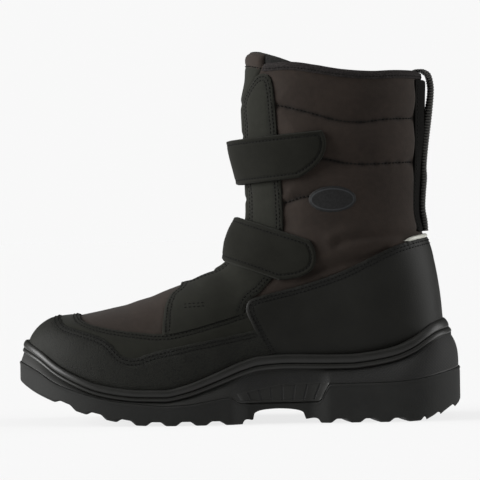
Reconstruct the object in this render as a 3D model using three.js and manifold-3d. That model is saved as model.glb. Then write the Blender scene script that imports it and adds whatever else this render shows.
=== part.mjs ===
// Winter boot for the left foot: a quilted shaft closed by two touch-fastener straps, on a moulded sole.
// Millimetres, +Z up. The toe points to -X and the outer side of the foot to -Y.
// The origin is on the floor, under the middle of the sole's outline.
// Tables give places as shares: along runs from the toe (0) to the heel (1) of the lasted upper,
// height from the floor (0) to the bend of the instep (1) and on to the top of the tongue (2),
// and widths are shares of the ball width.

import * as THREE from "three";
import { mergeVertices } from "three/addons/utils/BufferGeometryUtils.js";
import Module from "manifold-3d";

const wasm = await Module();
wasm.setup();

// Last: outside sizes of the lasted upper
const lastLength = 288.7;
const ballWidth = 100;
const instepHeight = 110;
const shaftRise = 147;
const toeRoundPlan = 62; // how far back the toe's roundness reaches, seen from above
const toeRoundProfile = 24; // the same, seen from the side
const toePoleHeight = 0.44; // height share of the foremost point

// Thicknesses and gaps
const clearance = 0.3;
const wall = 4; // quilted cloth, felt and lining together
const insoleHeight = 5.5;
const randThickness = 1.8;
const bandThickness = 1.2;
const facingThickness = 1.5;
const counterThickness = 2;
const bindingThickness = 0.9;
const bindingHeight = 4.5;
const badgeThickness = 1.2;
const backstayThickness = 1.2;

// Sole
const rimWall = 3.5;
const rimTuck = 5; // how deep the overlays reach down inside the rim
const soleRimToe = 1; // how far the block stands out past the rim, at the toe, ball and heel
const soleRimBall = 1.5;
const soleRimHeel = 6.3;
const toeLean = 2.4;
const treadFloor = 7; // thickness of the outsole's tread with its lugs
const trayWall = 3.2;
const lugDepth = 3.2;
const archInset = 5; // how far the outsole draws in at the arch
const ribDepth = 1.2;

// Throat and tongue
const throatHalfBottom = 9;
const throatHalfTop = 13;
const throatRound = 0.45; // how many sections the throat's rounded end takes
const throatFlare = 17; // extra half width where the throat opens out at the collar
const throatCutIn = 34; // how far the throat's cut reaches inwards and outwards of the last's surface
const throatCutOut = 12;
const tongueThickness = 2.6;
const tongueWing = 7;
const tongueSwell = 1; // how far the tongue fills the throat past the last

// Straps
const strapThickness = 2.4;
const strapEndPower = 3.5;

// Back: reinforcing tape, pull loop and reflective piping
const backstayHalf = 20;
const loopThickness = 2.2;
const loopHalf = 10;
const loopStand = 5.2;
const loopTail = 14; // length sewn inside the collar
const pipingHeight = 2.6;
const pipingThickness = 2.6;

// Badge patch
const badgeLength = 32;
const badgeHeight = 18;

// Fineness of the lofts
const TOE_RINGS = 4;
const RING_STEP = 1;
const RING_POINTS = 20;
const SOLE_STATIONS = 24;

const overlaySpace = clearance + randThickness + clearance;
const toeStack = overlaySpace + rimWall + soleRimToe;
const heelStack = overlaySpace + rimWall + soleRimHeel;
const soleLength = lastLength + toeStack + heelStack;
const toeX = -soleLength / 2 + toeStack;
const FAR = 400;

// Each section is a plane across the foot, upright at the toe and turning about the instep until it lies level
// in the shaft. It runs from its back end, at the sole or heel, to its front end, on the vamp or shin.
const SECTIONS = [
  { front: { along: 0, height: 0.65 }, back: { along: 0, height: 0.33 },
    lateral: 0.31, medial: 0.45, centre: 0.08, widest: 0.4, frontPower: 2.4, backPower: 3 },
  { front: { along: 0.09, height: 0.668 }, back: { along: 0.09, height: 0.235 },
    lateral: 0.39, medial: 0.485, centre: 0.06, widest: 0.36, frontPower: 2.4, backPower: 3.4 },
  { front: { along: 0.18, height: 0.706 }, back: { along: 0.18, height: 0.165 },
    lateral: 0.445, medial: 0.5, centre: 0.035, widest: 0.3, frontPower: 2.2, backPower: 3.6 },
  { front: { along: 0.27, height: 0.766 }, back: { along: 0.27, height: 0.12 },
    lateral: 0.485, medial: 0.5, centre: 0.015, widest: 0.26, frontPower: 2.1, backPower: 3.6 },
  { front: { along: 0.35, height: 0.843 }, back: { along: 0.36, height: 0.11 },
    lateral: 0.5, medial: 0.475, centre: 0, widest: 0.27, frontPower: 2.05, backPower: 3.6 },
  { front: { along: 0.42, height: 0.918 }, back: { along: 0.46, height: 0.13 },
    lateral: 0.475, medial: 0.42, centre: -0.01, widest: 0.3, frontPower: 2.05, backPower: 3.4 },
  { front: { along: 0.468, height: 0.975 }, back: { along: 0.58, height: 0.185 },
    lateral: 0.42, medial: 0.375, centre: -0.01, widest: 0.34, frontPower: 2.05, backPower: 3.2 },
  { front: { along: 0.497, height: 1.04 }, back: { along: 0.72, height: 0.24 },
    lateral: 0.395, medial: 0.37, centre: -0.005, widest: 0.38, frontPower: 2.1, backPower: 3 },
  { front: { along: 0.516, height: 1.09 }, back: { along: 0.88, height: 0.27 },
    lateral: 0.385, medial: 0.375, centre: 0, widest: 0.4, frontPower: 2.1, backPower: 2.8 },
  { front: { along: 0.528, height: 1.16 }, back: { along: 0.998, height: 0.45 },
    lateral: 0.385, medial: 0.38, centre: 0, widest: 0.42, frontPower: 2.1, backPower: 2.7 },
  { front: { along: 0.533, height: 1.25 }, back: { along: 0.992, height: 0.72 },
    lateral: 0.39, medial: 0.385, centre: 0, widest: 0.45, frontPower: 2.1, backPower: 2.5 },
  { front: { along: 0.532, height: 1.36 }, back: { along: 0.976, height: 1 },
    lateral: 0.4, medial: 0.395, centre: 0, widest: 0.48, frontPower: 2.1, backPower: 2.3 },
  { front: { along: 0.53, height: 1.49 }, back: { along: 0.947, height: 1.24 },
    lateral: 0.415, medial: 0.41, centre: 0, widest: 0.5, frontPower: 2.1, backPower: 2.2 },
  { front: { along: 0.527, height: 1.63 }, back: { along: 0.953, height: 1.48 },
    lateral: 0.435, medial: 0.43, centre: 0, widest: 0.5, frontPower: 2.1, backPower: 2.2 },
  { front: { along: 0.525, height: 1.77 }, back: { along: 0.954, height: 1.69 },
    lateral: 0.45, medial: 0.445, centre: 0, widest: 0.5, frontPower: 2.1, backPower: 2.2 },
  { front: { along: 0.528, height: 1.91 }, back: { along: 0.957, height: 1.88 },
    lateral: 0.46, medial: 0.455, centre: 0, widest: 0.5, frontPower: 2.1, backPower: 2.2 },
  { front: { along: 0.53, height: 2.05 }, back: { along: 0.958, height: 2.03 },
    lateral: 0.465, medial: 0.46, centre: 0, widest: 0.5, frontPower: 2.1, backPower: 2.2 },
];
const HEEL_ROW = SECTIONS.findIndex((row) => row.back.along > 0.95) - 1; // the last section that ends on the sole
const LAST_ROW = SECTIONS.length - 1;
const THROAT_BOTTOM = 5.45; // section at which the throat opens
const FACING_SPLIT = 4.35; // section at which the two facings part

// Sides of the sole: underside, top edge of the tread block, and top of the rim
const SOLE_SIDE = [
  { along: -0.03, tread: 0.27, block: 0.43, rim: 0.56 },
  { along: 0.02, tread: 0.198, block: 0.37, rim: 0.475 },
  { along: 0.07, tread: 0.144, block: 0.285, rim: 0.378 },
  { along: 0.12, tread: 0.094, block: 0.235, rim: 0.312 },
  { along: 0.17, tread: 0.056, block: 0.19, rim: 0.262 },
  { along: 0.22, tread: 0.026, block: 0.158, rim: 0.236 },
  { along: 0.27, tread: 0.005, block: 0.136, rim: 0.223 },
  { along: 0.33, tread: 0, block: 0.122, rim: 0.221 },
  { along: 0.38, tread: 0, block: 0.126, rim: 0.247 },
  { along: 0.43, tread: 0, block: 0.144, rim: 0.294 },
  { along: 0.485, tread: 0, block: 0.166, rim: 0.354 },
  { along: 0.515, tread: 0, block: 0.13, rim: 0.386 },
  { along: 0.56, tread: 0, block: 0.128, rim: 0.418 },
  { along: 0.62, tread: 0, block: 0.128, rim: 0.428 },
  { along: 0.695, tread: 0, block: 0.13, rim: 0.424 },
  { along: 0.725, tread: 0, block: 0.24, rim: 0.422 },
  { along: 0.77, tread: 0, block: 0.242, rim: 0.422 },
  { along: 0.82, tread: 0, block: 0.243, rim: 0.435 },
  { along: 0.88, tread: 0, block: 0.248, rim: 0.466 },
  { along: 0.93, tread: 0.01, block: 0.262, rim: 0.514 },
  { along: 0.99, tread: 0.055, block: 0.293, rim: 0.6 },
  { along: 1.05, tread: 0.135, block: 0.33, rim: 0.635 },
];

// The rim's two beads: depth below the rim's top and how far each line stands in from the rim's face
const RIM_BEADS = [
  { below: 0, inset: 1.6 },
  { below: 1.6, inset: 0 },
  { below: 4, inset: 0 },
  { below: 5.3, inset: 1.2 },
  { below: 7.6, inset: 0.2 },
  { below: 10.3, inset: 2.4 },
];

// Opening under the arch, seen from the side
const ARCH = [
  { along: 0.518, height: -0.1 },
  { along: 0.533, height: 0.06 },
  { along: 0.546, height: 0.085 },
  { along: 0.6, height: 0.094 },
  { along: 0.651, height: 0.085 },
  { along: 0.664, height: 0.06 },
  { along: 0.678, height: -0.1 },
];

// Edges of the overlays, seen from the side
const RAND_TOP = [
  { along: 0.076, height: 0.8 },
  { along: 0.079, height: 0.69 },
  { along: 0.093, height: 0.62 },
  { along: 0.14, height: 0.58 },
  { along: 0.185, height: 0.542 },
  { along: 0.208, height: 0.5 },
  { along: 0.232, height: 0.438 },
  { along: 0.262, height: 0.418 },
  { along: 0.3, height: 0.448 },
  { along: 0.36, height: 0.482 },
  { along: 0.42, height: 0.514 },
  { along: 0.53, height: 0.57 },
  { along: 0.65, height: 0.63 },
];
const BAND_TOP = [
  { along: 0.117, height: 0.84 },
  { along: 0.12, height: 0.72 },
  { along: 0.13, height: 0.655 },
  { along: 0.158, height: 0.62 },
  { along: 0.205, height: 0.593 },
  { along: 0.275, height: 0.57 },
  { along: 0.33, height: 0.563 },
  { along: 0.385, height: 0.588 },
  { along: 0.455, height: 0.64 },
  { along: 0.53, height: 0.698 },
  { along: 0.65, height: 0.8 },
];
const COUNTER_EDGE = [
  { along: 1.05, height: 1.125 },
  { along: 0.966, height: 1.106 },
  { along: 0.9, height: 1.078 },
  { along: 0.847, height: 1.037 },
  { along: 0.752, height: 0.933 },
  { along: 0.656, height: 0.849 },
  { along: 0.57, height: 0.793 },
  { along: 0.538, height: 0.765 },
  { along: 0.527, height: 0.728 },
  { along: 0.53, height: 0.67 },
  { along: 0.546, height: 0.58 },
  { along: 0.565, height: 0.486 },
  { along: 0.6, height: 0.33 },
];
const FACING_FRONT = [
  { along: 0.325, height: 0.45 },
  { along: 0.328, height: 0.56 },
  { along: 0.331, height: 0.66 },
  { along: 0.337, height: 0.742 },
  { along: 0.351, height: 0.806 },
  { along: 0.372, height: 0.86 },
  { along: 0.38, height: 1 },
];
const FACING_TOP = [
  { along: 0.505, height: 1.7 },
  { along: 0.527, height: 1.766 },
  { along: 0.538, height: 1.815 },
  { along: 0.555, height: 1.862 },
  { along: 0.575, height: 1.883 },
  { along: 0.592, height: 1.868 },
  { along: 0.599, height: 1.82 },
  { along: 0.604, height: 1.71 },
  { along: 0.61, height: 1.52 },
  { along: 0.616, height: 1.335 },
  { along: 0.618, height: 1.13 },
  { along: 0.608, height: 0.97 },
  { along: 0.566, height: 0.828 },
  { along: 0.53, height: 0.735 },
  { along: 0.5, height: 0.5 },
];
const COLLAR = [
  { along: 0.45, height: 1.935 },
  { along: 0.565, height: 1.925 },
  { along: 0.641, height: 1.925 },
  { along: 0.7, height: 1.907 },
  { along: 0.76, height: 1.886 },
  { along: 0.83, height: 1.876 },
  { along: 0.9, height: 1.882 },
  { along: 1.05, height: 1.885 },
];
const TONGUE_TOP = [
  { along: 0.45, height: 2 },
  { along: 0.535, height: 1.996 },
  { along: 0.57, height: 1.98 },
  { along: 0.62, height: 1.945 },
  { along: 0.7, height: 1.88 },
];

// Straps: their top and bottom edges run in tilted planes. front is where each edge passes the shin,
// slope its rise towards the heel, tip the farthest reach of the free end, anchor the sewn end.
const STRAPS = {
  strap_upper: {
    top: { along: 0.485, height: 1.574, slope: 0.085 },
    bottom: { along: 0.508, height: 1.365, slope: 0.094 },
    tip: 0.725, lowerRound: 0.066, upperRound: 0.013, anchor: 0.615, bulge: 0.4,
  },
  strap_lower: {
    top: { along: 0.503, height: 1.224, slope: -0.345 },
    bottom: { along: 0.47, height: 1.002, slope: -0.34 },
    tip: 0.7, lowerRound: 0.095, upperRound: 0.017, anchor: 0.6, bulge: 2,
  },
};

// Pull loop outside the shaft: stand is the gap to the tape behind it, as a share of loopStand
const LOOP = [
  { height: 1.88, stand: 0.6 },
  { height: 1.84, stand: 1 },
  { height: 1.78, stand: 1.05 },
  { height: 1.7, stand: 1 },
  { height: 1.62, stand: 0.8 },
  { height: 1.56, stand: 0.5 },
  { height: 1.51, stand: 0.3 },
  { height: 1.45, stand: 0.15 },
  { height: 1.33, stand: 0.1 },
  { height: 1.21, stand: 0.2 },
  { height: 1.15, stand: 0.2 },
];

// Tread grooves, seen from above: where each crosses the middle of the sole
const FOREFOOT_GROOVES = { first: 0.0325, pitch: 0.0655, count: 7 };
const HEEL_GROOVES = { first: 0.742, pitch: 0.073, count: 4 };
const grooveWidth = 7;
const grooveSweep = 6; // how far a groove's ends lie behind its middle
const centreGroove = 5;
const ARCH_RIBS = { first: 0.52, pitch: 0.023, count: 8 };
const ribWidth = 3.2;

// Heights and places

function levelAt(height) {
  return height <= 1 ? height * instepHeight : instepHeight + (height - 1) * shaftRise;
}

function xAt(along) {
  return toeX + along * lastLength;
}

function sidePoint(row) {
  return new THREE.Vector2(xAt(row.along), levelAt(row.height));
}

function mix(a, b, share) {
  return a + (b - a) * share;
}

function smoothStep(from, to, value) {
  const share = Math.min(1, Math.max(0, (value - from) / (to - from)));
  return share * share * (3 - 2 * share);
}

// The value at a place on a smooth curve that never overshoots the table's values.
function curveValue(places, values, place) {
  const last = places.length - 1;
  const at = Math.min(places[last], Math.max(places[0], place));
  let i = 0;
  while (i < last - 1 && at > places[i + 1]) i += 1;
  const rise = (k) => (values[k + 1] - values[k]) / (places[k + 1] - places[k]);
  const tangent = (k) => {
    if (k === 0) return rise(0);
    if (k === last) return rise(last - 1);
    const before = rise(k - 1);
    const after = rise(k);
    return before * after <= 0 ? 0 : (2 * before * after) / (before + after);
  };
  const width = places[i + 1] - places[i];
  const s = (at - places[i]) / width;
  return (
    (1 + 2 * s) * (1 - s) ** 2 * values[i] +
    s * (1 - s) ** 2 * width * tangent(i) +
    s ** 2 * (3 - 2 * s) * values[i + 1] +
    s ** 2 * (s - 1) * width * tangent(i + 1)
  );
}

function sectionValue(pick, station) {
  const rows = SECTIONS.map((row, index) => index);
  return curveValue(rows, SECTIONS.map(pick), station);
}

function soleValue(name, along) {
  return levelAt(curveValue(SOLE_SIDE.map((row) => row.along), SOLE_SIDE.map((row) => row[name]), along));
}

// Shrinks a width or height towards the foremost point, as an arc does.
function closing(distance, reach, power) {
  if (distance >= reach) return 1;
  return (1 - (1 - Math.max(0, distance) / reach) ** power) ** (1 / power);
}

// Solids

function solidFrom(geometry) {
  const bare = geometry.index ? geometry.toNonIndexed() : geometry.clone();
  bare.deleteAttribute("normal");
  bare.deleteAttribute("uv");
  const merged = mergeVertices(bare, 1e-4);
  const corners = [];
  for (let i = 0; i < merged.index.count; i += 3) {
    const [a, b, c] = [0, 1, 2].map((k) => merged.index.getX(i + k));
    if (a !== b && b !== c && c !== a) corners.push(a, b, c);
  }
  return new wasm.Manifold(
    new wasm.Mesh({
      numProp: 3,
      vertProperties: new Float32Array(merged.attributes.position.array),
      triVerts: new Uint32Array(corners),
    }),
  );
}

function geometryFrom(solid) {
  const mesh = solid.getMesh();
  const geometry = new THREE.BufferGeometry();
  geometry.setAttribute("position", new THREE.BufferAttribute(new Float32Array(mesh.vertProperties), 3));
  geometry.setIndex(new THREE.BufferAttribute(new Uint32Array(mesh.triVerts), 1));
  geometry.computeVertexNormals();
  return geometry;
}

function joined(solids) {
  return solids.reduce((all, next) => all.add(next));
}

// A closed solid through rings of points. Both ends are closed towards the middle of their ring.
function loft(rings) {
  const count = rings[0].length;
  const points = [];
  const faces = [];
  rings.forEach((ring) => points.push(...ring));
  for (let r = 0; r < rings.length - 1; r += 1) {
    for (let p = 0; p < count; p += 1) {
      const q = (p + 1) % count;
      const [a, b, c, d] = [r * count + p, r * count + q, (r + 1) * count + q, (r + 1) * count + p];
      faces.push(a, b, c, a, c, d);
    }
  }
  const closeEnd = (ring, start, turned) => {
    const middle = ring.reduce((sum, p) => sum.add(p), new THREE.Vector3()).divideScalar(count);
    points.push(middle);
    for (let p = 0; p < count; p += 1) {
      const q = (p + 1) % count;
      faces.push(points.length - 1, start + (turned ? p : q), start + (turned ? q : p));
    }
  };
  closeEnd(rings[0], 0, false);
  closeEnd(rings[rings.length - 1], (rings.length - 1) * count, true);
  const geometry = new THREE.BufferGeometry().setFromPoints(points);
  geometry.setIndex(faces);
  const solid = solidFrom(geometry);
  if (solid.volume() > 0) return solid;
  const turned = [];
  for (let i = 0; i < faces.length; i += 3) turned.push(faces[i], faces[i + 2], faces[i + 1]);
  geometry.setIndex(turned);
  return solidFrom(geometry);
}

// A side view outline cut right across the boot, or across part of its width.
function sideCut(points, from = -FAR, to = FAR) {
  const geometry = new THREE.ExtrudeGeometry(new THREE.Shape(points), { depth: to - from, bevelEnabled: false });
  geometry.rotateX(Math.PI / 2);
  geometry.translate(0, to, 0);
  return solidFrom(geometry);
}

// A plan view outline cut through a range of heights.
function planCut(points, from = -FAR, to = FAR) {
  const geometry = new THREE.ExtrudeGeometry(new THREE.Shape(points), { depth: to - from, bevelEnabled: false });
  geometry.translate(0, 0, from);
  return solidFrom(geometry);
}

function smoothEdge(rows, pointsPerRow = 2, lift = 0) {
  const points = rows.map((row) => sidePoint(row).add(new THREE.Vector2(0, lift)));
  return new THREE.SplineCurve(points).getPoints((rows.length - 1) * pointsPerRow);
}

// Everything below an edge that runs from the toe towards the heel.
function belowEdge(rows, lift = 0, pointsPerRow = 2) {
  const edge = smoothEdge(rows, pointsPerRow, lift);
  return sideCut([
    new THREE.Vector2(-FAR, -FAR),
    new THREE.Vector2(-FAR, edge[0].y),
    ...edge,
    new THREE.Vector2(FAR, edge[edge.length - 1].y),
    new THREE.Vector2(FAR, -FAR),
  ]);
}

// The last

function sectionAt(station) {
  const distance = sectionValue((row) => row.back.along, station) * lastLength;
  const narrow = closing(distance, toeRoundPlan, 2.4);
  const low = closing(distance, toeRoundProfile, 2);
  const pole = toePoleHeight * instepHeight;
  const end = (name) =>
    new THREE.Vector2(
      xAt(sectionValue((row) => row[name].along, station)),
      mix(pole, levelAt(sectionValue((row) => row[name].height, station)), low),
    );
  const centre = sectionValue((row) => row.centre, station) * ballWidth;
  return {
    front: end("front"),
    back: end("back"),
    centre,
    lateral: (sectionValue((row) => row.lateral, station) * ballWidth + centre) * narrow,
    medial: (sectionValue((row) => row.medial, station) * ballWidth - centre) * narrow,
    widest: sectionValue((row) => row.widest, station),
    frontPower: sectionValue((row) => row.frontPower, station),
    backPower: sectionValue((row) => row.backPower, station),
  };
}

// A point of the last. The angle is 0 at the section's front end and grows towards the outer side.
function lastPoint(station, angle) {
  const section = sectionAt(station);
  const [c, s] = [Math.cos(angle), Math.sin(angle)];
  const power = 2 / (c > 0 ? section.frontPower : section.backPower);
  const reach = c > 0 ? 1 - section.widest : section.widest;
  const share = section.widest + Math.sign(c) * reach * Math.abs(c) ** power;
  const side = Math.sign(s) * Math.abs(s) ** power;
  return new THREE.Vector3(
    mix(section.back.x, section.front.x, share),
    section.centre - side * (side > 0 ? section.lateral : section.medial),
    mix(section.back.y, section.front.y, share),
  );
}

function lastNormal(station, angle) {
  const nudge = 0.01;
  const at = Math.max(station, 2 * nudge);
  const alongShaft = lastPoint(at + nudge, angle).sub(lastPoint(at - nudge, angle));
  const aroundShaft = lastPoint(at, angle + nudge).sub(lastPoint(at, angle - nudge));
  return aroundShaft.cross(alongShaft).normalize();
}

function skinPoint(station, angle, offset) {
  if (station === 0) return lastPoint(0, 0).add(new THREE.Vector3(-offset, 0, 0));
  return lastPoint(station, angle).addScaledVector(lastNormal(station, angle), offset);
}

const stations = [];
for (let i = 0; i <= TOE_RINGS; i += 1) stations.push(1 - Math.cos((Math.PI / 2) * (i / TOE_RINGS)));
for (let t = 1 + RING_STEP; t <= LAST_ROW + 1e-9; t += RING_STEP) stations.push(t);
const angles = Array.from({ length: RING_POINTS }, (unused, i) => (2 * Math.PI * i) / RING_POINTS);

const forms = new Map();

// The last's form grown or shrunk by an offset, as one closed solid up past the collar.
function form(offset) {
  const key = offset.toFixed(4);
  if (!forms.has(key)) {
    forms.set(key, loft(stations.map((station) => angles.map((angle) => skinPoint(station, angle, offset)))));
  }
  return forms.get(key);
}

// A layer of the given thickness on the last, starting at an offset from it.
function layer(from, thickness) {
  return form(from + thickness).subtract(form(from));
}

// The station at which a line along the last, at one angle, crosses a tilted plane z = level + slope (x - x0).
function stationOnPlane(plane, angle) {
  let [low, high] = [HEEL_ROW - 3, LAST_ROW];
  for (let i = 0; i < 40; i += 1) {
    const middle = (low + high) / 2;
    const p = lastPoint(middle, angle);
    if (p.z < plane.level + plane.slope * (p.x - plane.x)) low = middle;
    else high = middle;
  }
  return (low + high) / 2;
}

// A slot that follows the line of the vamp and shin, used for the throat and for what fills it.
function slot(fromStation, toStation, margin, inside, outside) {
  const places = [fromStation, fromStation + 0.12, fromStation + throatRound];
  for (let t = Math.ceil(fromStation + throatRound + 0.1); t <= toStation; t += 1) places.push(t);
  return loft(places.map((station) => {
    const middle = lastPoint(station, 0);
    const normal = lastNormal(station, 0);
    const flare = smoothStep(levelAt(1.72), levelAt(1.93), middle.z) * throatFlare;
    const rounding = closing(station - fromStation, throatRound, 2);
    const widening = smoothStep(FACING_SPLIT, LAST_ROW, station);
    const half = (mix(throatHalfBottom, throatHalfTop, widening) + flare - margin) * Math.max(rounding, 0.25);
    return [
      [-half, -inside], [half, -inside], [half, outside], [-half, outside],
    ].map(([y, depth]) => middle.clone().addScaledVector(normal, depth).setY(middle.y + y));
  }));
}

// The sole's outline

function planHalves(along) {
  const rows = SECTIONS.slice(0, HEEL_ROW + 2);
  const places = rows.map((row) => row.back.along);
  const value = (name) => curveValue(places, rows.map((row) => row[name]), along) * ballWidth;
  const distance = along * lastLength;
  const toe = closing(distance, toeRoundPlan, 2.4);
  const heel = closing(lastLength - distance, value("lateral"), 2.3);
  const centre = value("centre");
  return {
    lateral: centre - (value("lateral") + centre) * toe * heel,
    medial: centre + (value("medial") - centre) * toe * heel,
  };
}

// The last's outline seen from above, one side: its point and outward direction at a share of the way round.
function planPoint(turn, side) {
  const place = (t) => {
    const along = (1 - Math.cos(Math.PI * Math.min(1, Math.max(0, t)))) / 2;
    return new THREE.Vector2(xAt(along), planHalves(along)[side]);
  };
  const nudge = 0.004;
  const point = place(turn);
  const direction = place(turn + nudge).sub(place(turn - nudge)).normalize();
  if (turn <= 0) return { point, out: new THREE.Vector2(-1, 0) };
  if (turn >= 1) return { point, out: new THREE.Vector2(1, 0) };
  const sign = side === "lateral" ? 1 : -1;
  return { point, out: new THREE.Vector2(direction.y * sign, -direction.x * sign) };
}

function rimStand(along) {
  return curveValue([0, 0.33, 0.6, 1], [soleRimToe, soleRimBall, soleRimBall * 1.8, soleRimHeel], along);
}

// How far the tread block draws in beside the arch.
function waist(along) {
  return archInset * smoothStep(0.484, 0.535, along) * (1 - smoothStep(0.672, 0.726, along));
}

// A closed solid round the sole's outline. The profile gives inset and level for each line round the sole,
// from the middle of its underside to the middle of its top.
function soleLoft(profile) {
  const rings = [];
  for (let i = 0; i <= SOLE_STATIONS; i += 1) {
    const turn = i / SOLE_STATIONS;
    const half = (side) => {
      const { point, out } = planPoint(turn, side);
      const edge = overlaySpace + rimWall + rimStand((point.x - toeX) / lastLength);
      const along = (point.x + out.x * edge - toeX) / lastLength;
      return profile(along).map(({ inset, level }) => {
        const place = point.clone().addScaledVector(out, edge - inset);
        return new THREE.Vector3(place.x, place.y, level);
      });
    };
    rings.push([...half("lateral"), ...half("medial").reverse()]);
  }
  return loft(rings);
}

// The rim leans back over the toe.
function rimLean(along, below) {
  return toeLean * (1 - smoothStep(-0.02, 0.12, along)) * (1 - below / 11);
}

function levelsAt(along) {
  return {
    tread: soleValue("tread", along),
    block: soleValue("block", along),
    rim: soleValue("rim", along),
  };
}

// The outsole's floor, which rises over the arch so that the block carries across it.
function treadTop(along) {
  const { tread, block } = levelsAt(along);
  return Math.min(mix(tread + treadFloor, block - clearance, waist(along) / archInset), block - clearance);
}

// Sub-parts

function buildOutsole() {
  const profile = (along) => {
    const { tread, block } = levelsAt(along);
    const draw = waist(along);
    const floor = treadTop(along);
    return [
      { inset: draw + 2.2, level: tread },
      { inset: draw + 0.6, level: tread + 2 },
      { inset: draw, level: mix(tread, block, 0.5) },
      { inset: draw + 0.5, level: block },
      { inset: draw + trayWall, level: block },
      { inset: draw + trayWall + 0.8, level: floor },
    ];
  };
  const treadLayer = soleLoft((along) => {
    const { tread } = levelsAt(along);
    return [
      { inset: -2, level: tread - 2 },
      { inset: -2, level: tread + lugDepth },
    ];
  });
  const grooves = [];
  const addGrooves = ({ first, pitch, count }) => {
    for (let i = 0; i < count; i += 1) {
      const x = xAt(first + pitch * i);
      const edge = (y, shift) => new THREE.Vector2(x + grooveSweep * (Math.abs(y) / (ballWidth / 2)) ** 1.5 + shift, y);
      const across = [-0.75, -0.4, 0, 0.4, 0.75].map((share) => share * ballWidth);
      grooves.push(
        planCut([
          ...across.map((y) => edge(y, -grooveWidth / 2)),
          ...across.reverse().map((y) => edge(y, grooveWidth / 2)),
        ]),
      );
    }
  };
  addGrooves(FOREFOOT_GROOVES);
  addGrooves(HEEL_GROOVES);
  const middle = planCut([
    new THREE.Vector2(xAt(0.02), -centreGroove / 2),
    new THREE.Vector2(xAt(0.96), -centreGroove / 2),
    new THREE.Vector2(xAt(0.96), centreGroove / 2),
    new THREE.Vector2(xAt(0.02), centreGroove / 2),
  ]);
  const arch = sideCut(smoothEdge(ARCH));
  return soleLoft(profile).subtract(treadLayer.intersect(joined([...grooves, middle]))).subtract(arch);
}

// The cavity that holds the lasted upper: snug below, wider above where the overlays tuck into the rim.
function lastCavity() {
  const tuckLine = SOLE_SIDE.map((row) => ({ along: row.along, height: row.rim }));
  const above = sideCut([
    new THREE.Vector2(-FAR, FAR),
    ...smoothEdge(tuckLine, 1, -rimTuck),
    new THREE.Vector2(FAR, FAR),
  ]);
  return form(clearance).add(form(overlaySpace).intersect(above));
}

function buildMidsole() {
  const profile = (along, stand = 0) => {
    const { block, rim } = levelsAt(along);
    const draw = waist(along);
    const floor = treadTop(along) + clearance;
    const face = rimStand(along);
    const beads = [...RIM_BEADS].reverse().map(({ below, inset }) => ({
      inset: face + inset + rimLean(along, below),
      level: rim - below,
    }));
    const recess = beads[0].level;
    return [
      { inset: draw + trayWall + 0.8 + clearance, level: floor },
      { inset: draw + trayWall + clearance, level: block + clearance },
      { inset: draw * 0.6 + 1 - stand, level: block + clearance },
      { inset: Math.max(face, draw * 0.6) * 0.5 + 1 - stand, level: mix(block, recess, 0.7) },
      ...beads,
      { inset: face + rimWall + 4, level: rim },
    ];
  };
  const body = soleLoft((along) => profile(along));
  const ribbed = soleLoft((along) => {
    const { block, rim } = levelsAt(along);
    const low = block + clearance;
    const top = low + (rim - low) * 0.42;
    return [
      { inset: waist(along) * 0.6 + 1 - ribDepth, level: low },
      { inset: waist(along) * 0.6 + 1.4 - ribDepth, level: top },
      { inset: 12, level: top },
      { inset: 12, level: low },
    ];
  });
  const ribs = [];
  for (let i = 0; i < ARCH_RIBS.count; i += 1) {
    const x = xAt(ARCH_RIBS.first + ARCH_RIBS.pitch * i);
    ribs.push(
      planCut([
        new THREE.Vector2(x - ribWidth / 2, -FAR),
        new THREE.Vector2(x + ribWidth / 2, -FAR),
        new THREE.Vector2(x + ribWidth / 2, FAR),
        new THREE.Vector2(x - ribWidth / 2, FAR),
      ]),
    );
  }
  return body.add(ribbed.intersect(joined(ribs))).subtract(lastCavity());
}

function lastBottomEdge(lift) {
  const rows = SECTIONS.slice(0, HEEL_ROW + 1).map((row) => row.back);
  return belowEdge([{ along: -0.05, height: rows[0].height }, ...rows, { along: 1.05, height: rows[HEEL_ROW].height }], lift);
}

function buildInsole() {
  return form(0).intersect(lastBottomEdge(insoleHeight - clearance));
}

function buildUpper() {
  return layer(-wall, wall)
    .subtract(lastBottomEdge(insoleHeight))
    .intersect(belowEdge(COLLAR))
    .subtract(slot(THROAT_BOTTOM, LAST_ROW, 0, throatCutIn, throatCutOut));
}

function buildTongue() {
  const wings = layer(-wall - clearance - tongueThickness, tongueThickness)
    .intersect(slot(THROAT_BOTTOM - 0.7, LAST_ROW, -tongueWing, throatCutIn, throatCutOut));
  const swell = layer(-wall - clearance - tongueThickness, wall + clearance + tongueThickness + tongueSwell)
    .intersect(slot(THROAT_BOTTOM + 0.03, LAST_ROW, clearance, throatCutIn, throatCutOut));
  return wings.add(swell).intersect(belowEdge(TONGUE_TOP));
}

function aboveRim() {
  const line = SOLE_SIDE.map((row) => ({ along: row.along, height: row.rim }));
  return sideCut([
    new THREE.Vector2(-FAR, FAR),
    ...smoothEdge(line, 1, clearance - rimTuck),
    new THREE.Vector2(FAR, FAR),
  ]);
}

function counterRegion(margin) {
  const edge = smoothEdge(COUNTER_EDGE).map((p) => p.add(new THREE.Vector2(-margin, margin)));
  return sideCut([...edge, new THREE.Vector2(edge[edge.length - 1].x, -FAR), new THREE.Vector2(FAR, -FAR), new THREE.Vector2(FAR, edge[0].y)]);
}

function buildCounter() {
  return layer(clearance, counterThickness).intersect(counterRegion(0)).intersect(aboveRim());
}

function buildRand() {
  return layer(clearance, randThickness)
    .intersect(belowEdge(RAND_TOP))
    .intersect(aboveRim())
    .subtract(counterRegion(clearance));
}

function buildBand() {
  return layer(clearance, bandThickness)
    .intersect(belowEdge(BAND_TOP))
    .subtract(belowEdge(RAND_TOP, clearance))
    .subtract(counterRegion(clearance));
}

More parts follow.
